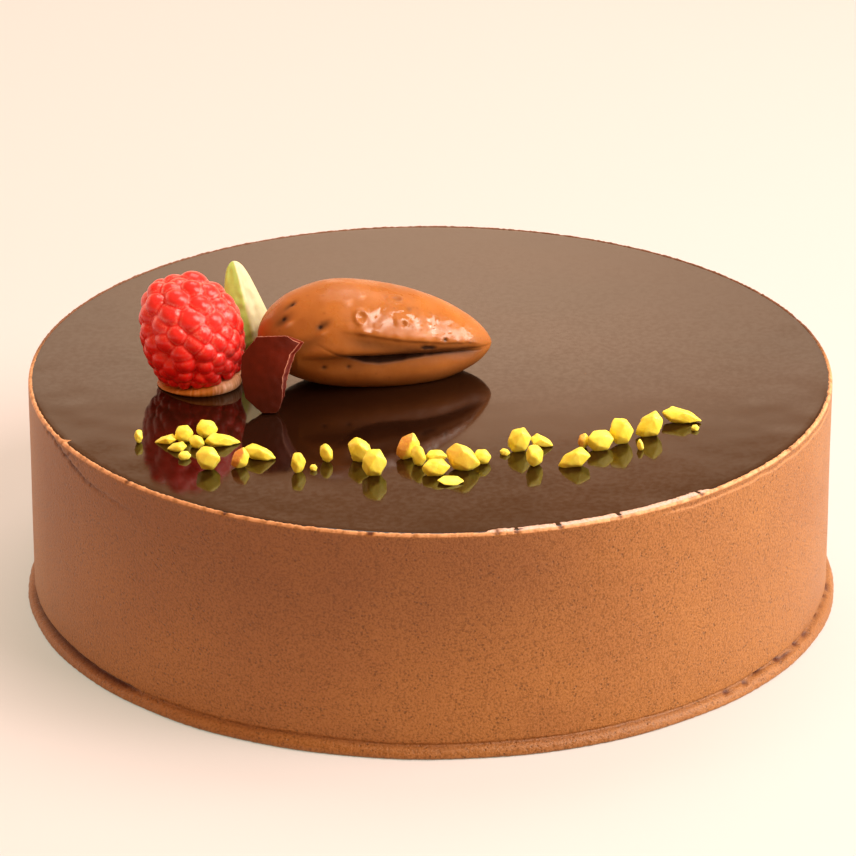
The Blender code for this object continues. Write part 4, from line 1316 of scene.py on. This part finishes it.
class CAKE_OT_raspberry(bpy.types.Operator):
    """Grow the raspberry from its drupelets and set it on its dab of mousse"""

    bl_idname = "cake.raspberry"
    bl_label = "Raspberry and dab"
    bl_options = {"REGISTER", "UNDO"}

    def execute(self, context):
        settings = context.scene.cake_toppings
        material = berry_material(settings)
        mesh, places = berry_mesh(settings, material)
        centres = [(centre * MM, size * MM) for centre, size in places]
        deep, rim_highlights = [], []
        for vert in mesh.vertices:
            nearest = sorted((vert.co - centre).length / size for centre, size in centres)[:2]
            gap = nearest[1] - nearest[0]
            # Painted shade between the drupelets and low on the berry towards its left, and a painted highlight in a
            # ring round each drupelet.
            between = 1.0 - smooth_step(0.0, 0.1, gap)
            low = 1.0 - smooth_step(1.0 * MM, 15.0 * MM, vert.co.z + 0.7 * vert.co.x)
            deep.append(min(0.65 * between + 0.85 * low, 1.0))
            rim_highlights.append(smooth_step(0.04, 0.12, gap) * (1.0 - smooth_step(0.16, 0.3, gap)))
            vert.co.z = max(vert.co.z, 0.0)
            vert.co.x -= BERRY_TIP_SHIFT * MM * (vert.co.z / (BERRY_HEIGHT * MM)) ** 3
        set_point_values(mesh, deep=deep, ring=rim_highlights)
        mesh.transform(Matrix.Translation(BERRY_FOOT * MM) @ Matrix.Rotation(BERRY_LEAN, 4, "Y"))
        finish_piece("raspberry_skin", mesh, material, ["raspberry"])
        self.add_dab(settings)
        return {"FINISHED"}

    def add_dab(self, settings):
        """Low uneven pad of mousse whose top follows the leaning foot of the raspberry."""
        edge_waves = waves(21, (2, 3, 5))
        sides = 160
        profile = [(0.0, 0.0), (0.5, 0.0), (0.9, 0.0)]
        profile += [(0.94 + 0.06 * math.sin(math.pi * 0.5 * i / 5), 0.1 * i) for i in range(1, 6)]
        profile += [(1.0 - 0.07 * (i / 5) ** 2, 0.5 + 0.1 * i) for i in range(1, 6)]
        profile += [(0.6, 1.0), (0.0, 1.0)]
        rows, painted_shading_values = [], []
        for share, height in profile:
            row = []
            for i in range(sides if share else 1):
                angle = TURN * i / sides
                radius = DAB_RADIUS * share * (1.0 + 0.03 * edge_waves(angle))
                across = radius * math.cos(angle)
                top = BERRY_FOOT.z - GAP + 0.1 - across * math.tan(BERRY_LEAN)
                level = TOUCHING_LEVEL + height * (top - TOUCHING_LEVEL)
                streak = unevenness(angle * 26.0, level * 0.35)
                radius += 0.16 * streak * (share > 0.92)
                x = BERRY_FOOT.x + radius * math.cos(angle)
                y = BERRY_FOOT.y + radius * math.sin(angle)
                row.append(Vector((x, y, level)))
                # Painted light on the streaks, and a painted highlight on the dab's lit right end.
                right = within(math.degrees(angle - TURN if angle > math.pi else angle), DAB_HIGHLIGHT_ANGLES, 14.0)
                painted_shading_values.append(0.3 * streak + right * (0.6 + 1.1 * streak))
            rows.append(row)
        mesh = mesh_from_bmesh(grid_bmesh(rows))
        set_point_values(mesh, tone=painted_shading_values)
        material = mousse_material("dab_mousse", settings.dab_colour, settings.mousse_drift_and_shade, 0.5, 1100.0)
        finish_piece("dab_mousse", mesh, material, ["mousse_dab"])


# Shard and kernel


def shard_material(settings):
    """Tempered dark chocolate with a soft sheen, painted highlights along its edges and painted shade low down."""
    finish = Finish("shard_chocolate", 0.4, IOR=1.4, Specular_IOR_Level=0.35, Specular_Tint=(1.0, 0.6, 0.5, 1.0))
    tree = finish.tree
    edge = finish.point_value("edge")
    height = finish.grain(1800.0, 0.3)[0]
    colour = finish.wander(180.0, settings.chocolate_colour, scaled(settings.chocolate_colour, 1.7), 0.25)
    # Painted highlight along the edges, and a brighter painted glint on their outer line.
    rim = add_math(tree, "POWER", edge, 9.0)
    colour = finish.tint(colour, edge, 0.6, SHARD_EDGE_HIGHLIGHT)
    colour = finish.tint(colour, rim, add_range(tree, height, 0.3, 0.6, 0.4, 1.0), SHARD_EDGE_GLINT)
    # Painted shade low on the shard.
    level = add_node(tree, "ShaderNodeSeparateXYZ", {0: finish.place}).outputs[2]
    low, high = (part * MM for part in SHARD_SHADE_LEVELS)
    colour = finish.tint(colour, add_range(tree, level, high, low), 0.7, SHARD_SHADE)
    finish.join("Base Color", colour)
    finish.join("Roughness", add_range(tree, height, 0.2, 0.8, 0.28, 0.45))
    finish.join("Normal", finish.bump(height, 0.04 * MM, 0.6))
    return finish.material


def shard_sheet(bm, edge_highlight_layer, depth):
    """Rows of points of one face of the shard, at this depth into its thickness."""
    sheet = []
    for i in range(SHARD_ROWS + 1):
        share = i / SHARD_ROWS
        height = share * SHARD_HEIGHT
        left = through(SHARD_LEFT_EDGE, share) + 0.16 * unevenness(height * 1.3, 1.0, depth)
        right = through(SHARD_RIGHT_EDGE, share) + 0.16 * unevenness(height * 1.1, 7.0, depth)
        if depth == 0.0:
            right -= SHARD_STRIP * smooth_step(0.0, 0.5, share) * (1.0 - 0.6 * smooth_step(0.92, 1.0, share))
        row = []
        for j in range(SHARD_COLUMNS + 1):
            across = left + (right - left) * j / SHARD_COLUMNS
            bow = SHARD_BEND * (across / 5.0) ** 2
            rough = 0.09 * unevenness(across * 0.7, depth, height * 0.6)
            top = 0.12 * unevenness(across * 1.6, depth, 3.0) if i == SHARD_ROWS else 0.0
            vert = bm.verts.new((across, depth + bow + rough, height + top))
            # The top, the right side and the lower right carry the painted highlight of the edges.
            pale = i == SHARD_ROWS or j == SHARD_COLUMNS or (i == 0 and 2 * j > SHARD_COLUMNS)
            vert[edge_highlight_layer] = 1.0 if pale else 0.0
            row.append(vert)
        sheet.append(row)
    return sheet


def shard_bmesh():
    """The shard upright in millimetres: two sheets joined by a broken edge, whose painted highlight is weaker in its
    middle.
    """
    bm = bmesh.new()
    edge_highlight_layer = bm.verts.layers.float.new("edge")
    front, back = (shard_sheet(bm, edge_highlight_layer, depth) for depth in (0.0, SHARD_THICKNESS))
    for sheet in (front, back):
        for low, high in zip(sheet, sheet[1:]):
            for j in range(SHARD_COLUMNS):
                bm.faces.new((low[j], low[j + 1], high[j + 1], high[j]))
    borders = [[(ahead[side], behind[side]) for ahead, behind in zip(front, back)] for side in (0, -1)]
    borders += [list(zip(front[end], back[end])) for end in (0, -1)]
    middles = {}
    for border in borders:
        for pair in border:
            if pair not in middles:
                middles[pair] = bm.verts.new((pair[0].co + pair[1].co) / 2.0)
                # The middle of the edge gets a quarter of the painted highlight.
                middles[pair][edge_highlight_layer] = 0.25 * pair[0][edge_highlight_layer]
        for (a, b), (c, d) in zip(border, border[1:]):
            low, high = middles[a, b], middles[c, d]
            bm.faces.new((a, low, high, c))
            bm.faces.new((low, b, d, high))
    bmesh.ops.recalc_face_normals(bm, faces=bm.faces)
    corners = [edge for edge in bm.edges if edge.calc_face_angle(0.0) > math.radians(36.0)]
    bmesh.ops.bevel(bm, geom=corners, offset=0.14, segments=2, profile=0.6, affect="EDGES", clamp_overlap=True)
    return bm


class CAKE_OT_shard(bpy.types.Operator):
    """Break off the shard of dark chocolate in front of the quenelle"""

    bl_idname = "cake.shard"
    bl_label = "Chocolate shard"
    bl_options = {"REGISTER", "UNDO"}

    def execute(self, context):
        mesh = mesh_from_bmesh(shard_bmesh())
        heel_drop = 1.1 * SHARD_THICKNESS * math.sin(SHARD_LEAN)
        place = Matrix.Translation((SHARD_FOOT + Vector((0.0, 0.0, heel_drop - GAP))) * MM)
        mesh.transform(place @ Matrix.Rotation(SHARD_YAW, 4, "Z") @ Matrix.Rotation(-SHARD_LEAN, 4, "X"))
        material = shard_material(context.scene.cake_toppings)
        finish_piece("shard_chocolate", mesh, material, ["chocolate_shard"])
        return {"FINISHED"}


def kernel_width_share(share):
    """Share of the greatest width at this share of the kernel's length, narrow at the top."""
    if share < KERNEL_WIDEST_AT:
        return (1.0 - (1.0 - share / KERNEL_WIDEST_AT) ** 1.6) ** 0.9
    onward = (share - KERNEL_WIDEST_AT) / (1.0 - KERNEL_WIDEST_AT)
    return 0.72 * (1.0 - onward) ** 0.85 + 0.28 * (1.0 - onward ** 10.0) ** 0.5


def kernel_material(settings):
    """Peeled pistachio: cream green cut face and a greener domed face."""
    finish = Finish(
        "pistachio_flesh", 0.5,
        Subsurface_Weight=0.25, Subsurface_Radius=(1.0, 0.8, 0.25), Subsurface_Scale=0.8 * MM)
    height = finish.grain(1500.0, 0.4)[0]
    flesh = finish.wander(160.0, settings.kernel_flesh, scaled(settings.kernel_flesh, 0.92), 0.3)
    skin = finish.wander(200.0, settings.kernel_skin, scaled(settings.kernel_skin, 0.75), 0.3)
    finish.join("Base Color", add_mix(finish.tree, finish.point_value("dome"), flesh, skin))
    finish.join("Normal", finish.bump(height, 0.05 * MM, 0.6))
    return finish.material


class CAKE_OT_kernel(bpy.types.Operator):
    """Stand the half pistachio kernel behind the raspberry"""

    bl_idname = "cake.kernel"
    bl_label = "Pistachio half"
    bl_options = {"REGISTER", "UNDO"}

    def execute(self, context):
        axis = KERNEL_TOP - KERNEL_FOOT
        length = axis.length
        rows, domes = [], []
        for i in range(KERNEL_STATIONS + 1):
            share = 0.5 - 0.5 * math.cos(math.pi * i / KERNEL_STATIONS)
            swell = kernel_width_share(share) if 0 < i < KERNEL_STATIONS else 0.0
            row = []
            for j in range(KERNEL_SIDES if swell else 1):
                angle = TURN * j / KERNEL_SIDES
                out = math.sin(angle)
                thick = KERNEL_THICKNESS if out > 0.0 else 0.12 * KERNEL_THICKNESS
                across = 0.5 * KERNEL_WIDTH * swell * math.cos(angle)
                ridge = 0.28 * bell(across - 1.2, 0.7) * swell if out > 0.3 else 0.0
                rough = 0.14 * unevenness(across * 0.8, out * 2.0, share * 14.0)
                deep = (thick * swell + ridge + rough) * out
                if out < 0.0:
                    deep -= KERNEL_RIDGE * swell * (1.0 - abs(math.cos(angle))) * (0.9 + rough)
                row.append(Vector((across, deep, share * length)))
                left = 1.0 - smooth_step(-0.25, 0.1, across) if out < 0.0 else 1.0
                domes.append(min(left + 0.6 * (1.0 - smooth_step(0.02, 0.14, share)), 1.0))
            rows.append(row)
        mesh = mesh_from_bmesh(grid_bmesh(rows))
        set_point_values(mesh, dome=domes)
        upright = axis.to_track_quat("Z", "Y").to_matrix().to_4x4()
        turned = upright @ Matrix.Rotation(math.pi + KERNEL_FACE_TURN, 4, "Z")
        mesh.transform(Matrix.Translation((KERNEL_FOOT - Vector((0.0, 0.0, GAP))) * MM) @ turned)
        material = kernel_material(context.scene.cake_toppings)
        finish_piece("pistachio_kernel", mesh, material, ["pistachio_half"])
        return {"FINISHED"}


# Stage


def floor_material(settings):
    """Pale matte floor with the faintest unevenness."""
    finish = Finish(
        "pale_floor", 0.85, Specular_IOR_Level=0.2, Emission_Color=rgba(settings.floor_glow), Emission_Strength=1.0)
    finish.join("Base Color", finish.wander(3.0, settings.floor_colour, scaled(settings.floor_colour, 0.985), 0.3))
    return finish.material


def light_world(scene, settings):
    """Bright band round the horizon that fades above, plain where the camera looks straight at it."""
    world = bpy.data.worlds.new("soft_surroundings")
    scene.world = world
    world.use_nodes = True
    tree = world.node_tree
    tree.nodes.clear()
    facing = add_node(tree, "ShaderNodeTexCoord").outputs["Generated"]
    across, onward, upward = add_node(tree, "ShaderNodeSeparateXYZ", {0: facing}).outputs

    def rise(limits, to_low=0.0, to_high=1.0):
        """A smooth rise between two elevations in degrees."""
        low, high = (math.sin(math.radians(degrees)) for degrees in limits)
        return add_range(tree, upward, low, high, to_low, to_high)

    high = rise(BAND_FADE)
    behind = add_range(tree, onward, -0.55, 0.35)
    middle = add_math(tree, "POWER", add_math(tree, "DIVIDE", across, BAND_HALF_WIDTH), 2.0)
    middle = add_math(tree, "MULTIPLY", add_math(tree, "EXPONENT", add_math(tree, "MULTIPLY", middle, -1.0)), 0.48)
    band = add_math(tree, "MULTIPLY", add_math(tree, "ADD", middle, 0.47), behind)
    band = add_math(tree, "MULTIPLY", band, rise(BAND_BRIGHTENS, 0.95, 1.14))
    low_power = add_blend(tree, band, settings.front_power, settings.backdrop_power)
    power = add_blend(tree, high, low_power, settings.ceiling_power)
    low_colour = add_mix(tree, behind, rgba(settings.front_colour), rgba(settings.backdrop_colour))
    high_colour = add_mix(tree, rise(WALL_TO_CEILING), rgba(settings.wall_colour), rgba(settings.ceiling_colour))
    colour = add_mix(tree, high, low_colour, high_colour)
    glow = add_node(tree, "ShaderNodeBackground", {"Color": colour, "Strength": power})
    plain = add_node(tree, "ShaderNodeBackground", {"Color": rgba(PLAIN_BACKDROP), "Strength": 1.0})
    seen = add_node(tree, "ShaderNodeLightPath").outputs["Is Camera Ray"]
    both = add_node(tree, "ShaderNodeMixShader", {0: seen, 1: glow.outputs[0], 2: plain.outputs[0]})
    add_node(tree, "ShaderNodeOutputWorld", {0: both.outputs[0]})


def add_area_light(name, azimuth, elevation, distance, size, power, colour):
    """Soft square light that faces the cake from this direction, measured from the camera's side."""
    light = bpy.data.lights.new(name, "AREA")
    light.shape = "SQUARE"
    light.size = size
    light.energy = power
    light.color = colour
    around, up = math.radians(azimuth), math.radians(elevation)
    direction = Vector((math.sin(around) * math.cos(up), -math.cos(around) * math.cos(up), math.sin(up)))
    lamp = bpy.data.objects.new(name, light)
    lamp.location = CAMERA_TARGET * MM + direction * distance
    lamp.rotation_euler = direction.to_track_quat("Z", "Y").to_euler()
    lamp.visible_camera = False
    bpy.context.scene.collection.objects.link(lamp)


class CAKE_OT_stage(bpy.types.Operator):
    """Lay the floor, set the lights and place the camera"""

    bl_idname = "cake.stage"
    bl_label = "Floor, lights and camera"
    bl_options = {"REGISTER", "UNDO"}

    def execute(self, context):
        scene = context.scene
        settings = scene.cake_stage
        mesh = bpy.data.meshes.new("floor")
        corners = [(x * FLOOR_HALF, y * FLOOR_HALF, 0.0) for x, y in ((-1, -1), (1, -1), (1, 1), (-1, 1))]
        mesh.from_pydata(corners, [], [(0, 1, 2, 3)])
        mesh.materials.append(floor_material(settings))
        floor = bpy.data.objects.new("floor", mesh)
        scene.collection.objects.link(floor)
        light_world(scene, settings)
        for name, azimuth, elevation, distance, size, colour in LIGHTS:
            power = getattr(settings, name + "_power")
            add_area_light(name + "_light", azimuth, elevation, distance, size, power, colour)
        camera = bpy.data.objects.new("camera", bpy.data.cameras.new("camera"))
        camera.data.lens = CAMERA_LENS
        camera.data.sensor_width = SENSOR_WIDTH
        camera.data.clip_end = CLIP_END
        back = Vector((0.0, -math.cos(CAMERA_ELEVATION), math.sin(CAMERA_ELEVATION)))
        camera.location = (CAMERA_TARGET + CAMERA_DISTANCE * back) * MM
        camera.rotation_euler = (-back).to_track_quat("-Z", "Y").to_euler()
        scene.collection.objects.link(camera)
        scene.camera = camera
        scene.view_settings.view_transform = "Standard"
        scene.view_settings.look = "None"
        return {"FINISHED"}


class CAKE_PT_pieces(bpy.types.Panel):
    """Lists the pieces of the cake and their settings"""

    bl_label = "Chocolate cake"
    bl_idname = "CAKE_PT_pieces"
    bl_space_type = "VIEW_3D"
    bl_region_type = "UI"
    bl_category = "Cake"

    def draw(self, context):
        column = self.layout.column(align=True)
        for operator in PIECE_OPERATORS:
            column.operator(operator.bl_idname)
        for name in SETTINGS:
            group = getattr(context.scene, name)
            box = self.layout.box()
            for key in group.bl_rna.properties.keys():
                if key not in ("rna_type", "name"):
                    box.prop(group, key)


PIECE_OPERATORS = (
    CAKE_OT_coat, CAKE_OT_glaze, CAKE_OT_nuts, CAKE_OT_quenelle,
    CAKE_OT_raspberry, CAKE_OT_shard, CAKE_OT_kernel, CAKE_OT_stage,
)
SETTINGS = {
    "cake_coat": CoatSettings,
    "cake_glaze": GlazeSettings,
    "cake_toppings": ToppingSettings,
    "cake_stage": StageSettings,
}


CLASSES = (*SETTINGS.values(), *PIECE_OPERATORS, CAKE_PT_pieces)


def register():
    for cls in CLASSES:
        bpy.utils.register_class(cls)
    for name, group in SETTINGS.items():
        setattr(bpy.types.Scene, name, PointerProperty(type=group))


def unregister():
    for name in SETTINGS:
        delattr(bpy.types.Scene, name)
    for cls in reversed(CLASSES):
        bpy.utils.unregister_class(cls)


def main():
    register()
    for operator in PIECE_OPERATORS:
        category, name = operator.bl_idname.split(".")
        getattr(getattr(bpy.ops, category), name)()


if __name__ == "__main__":
    main()
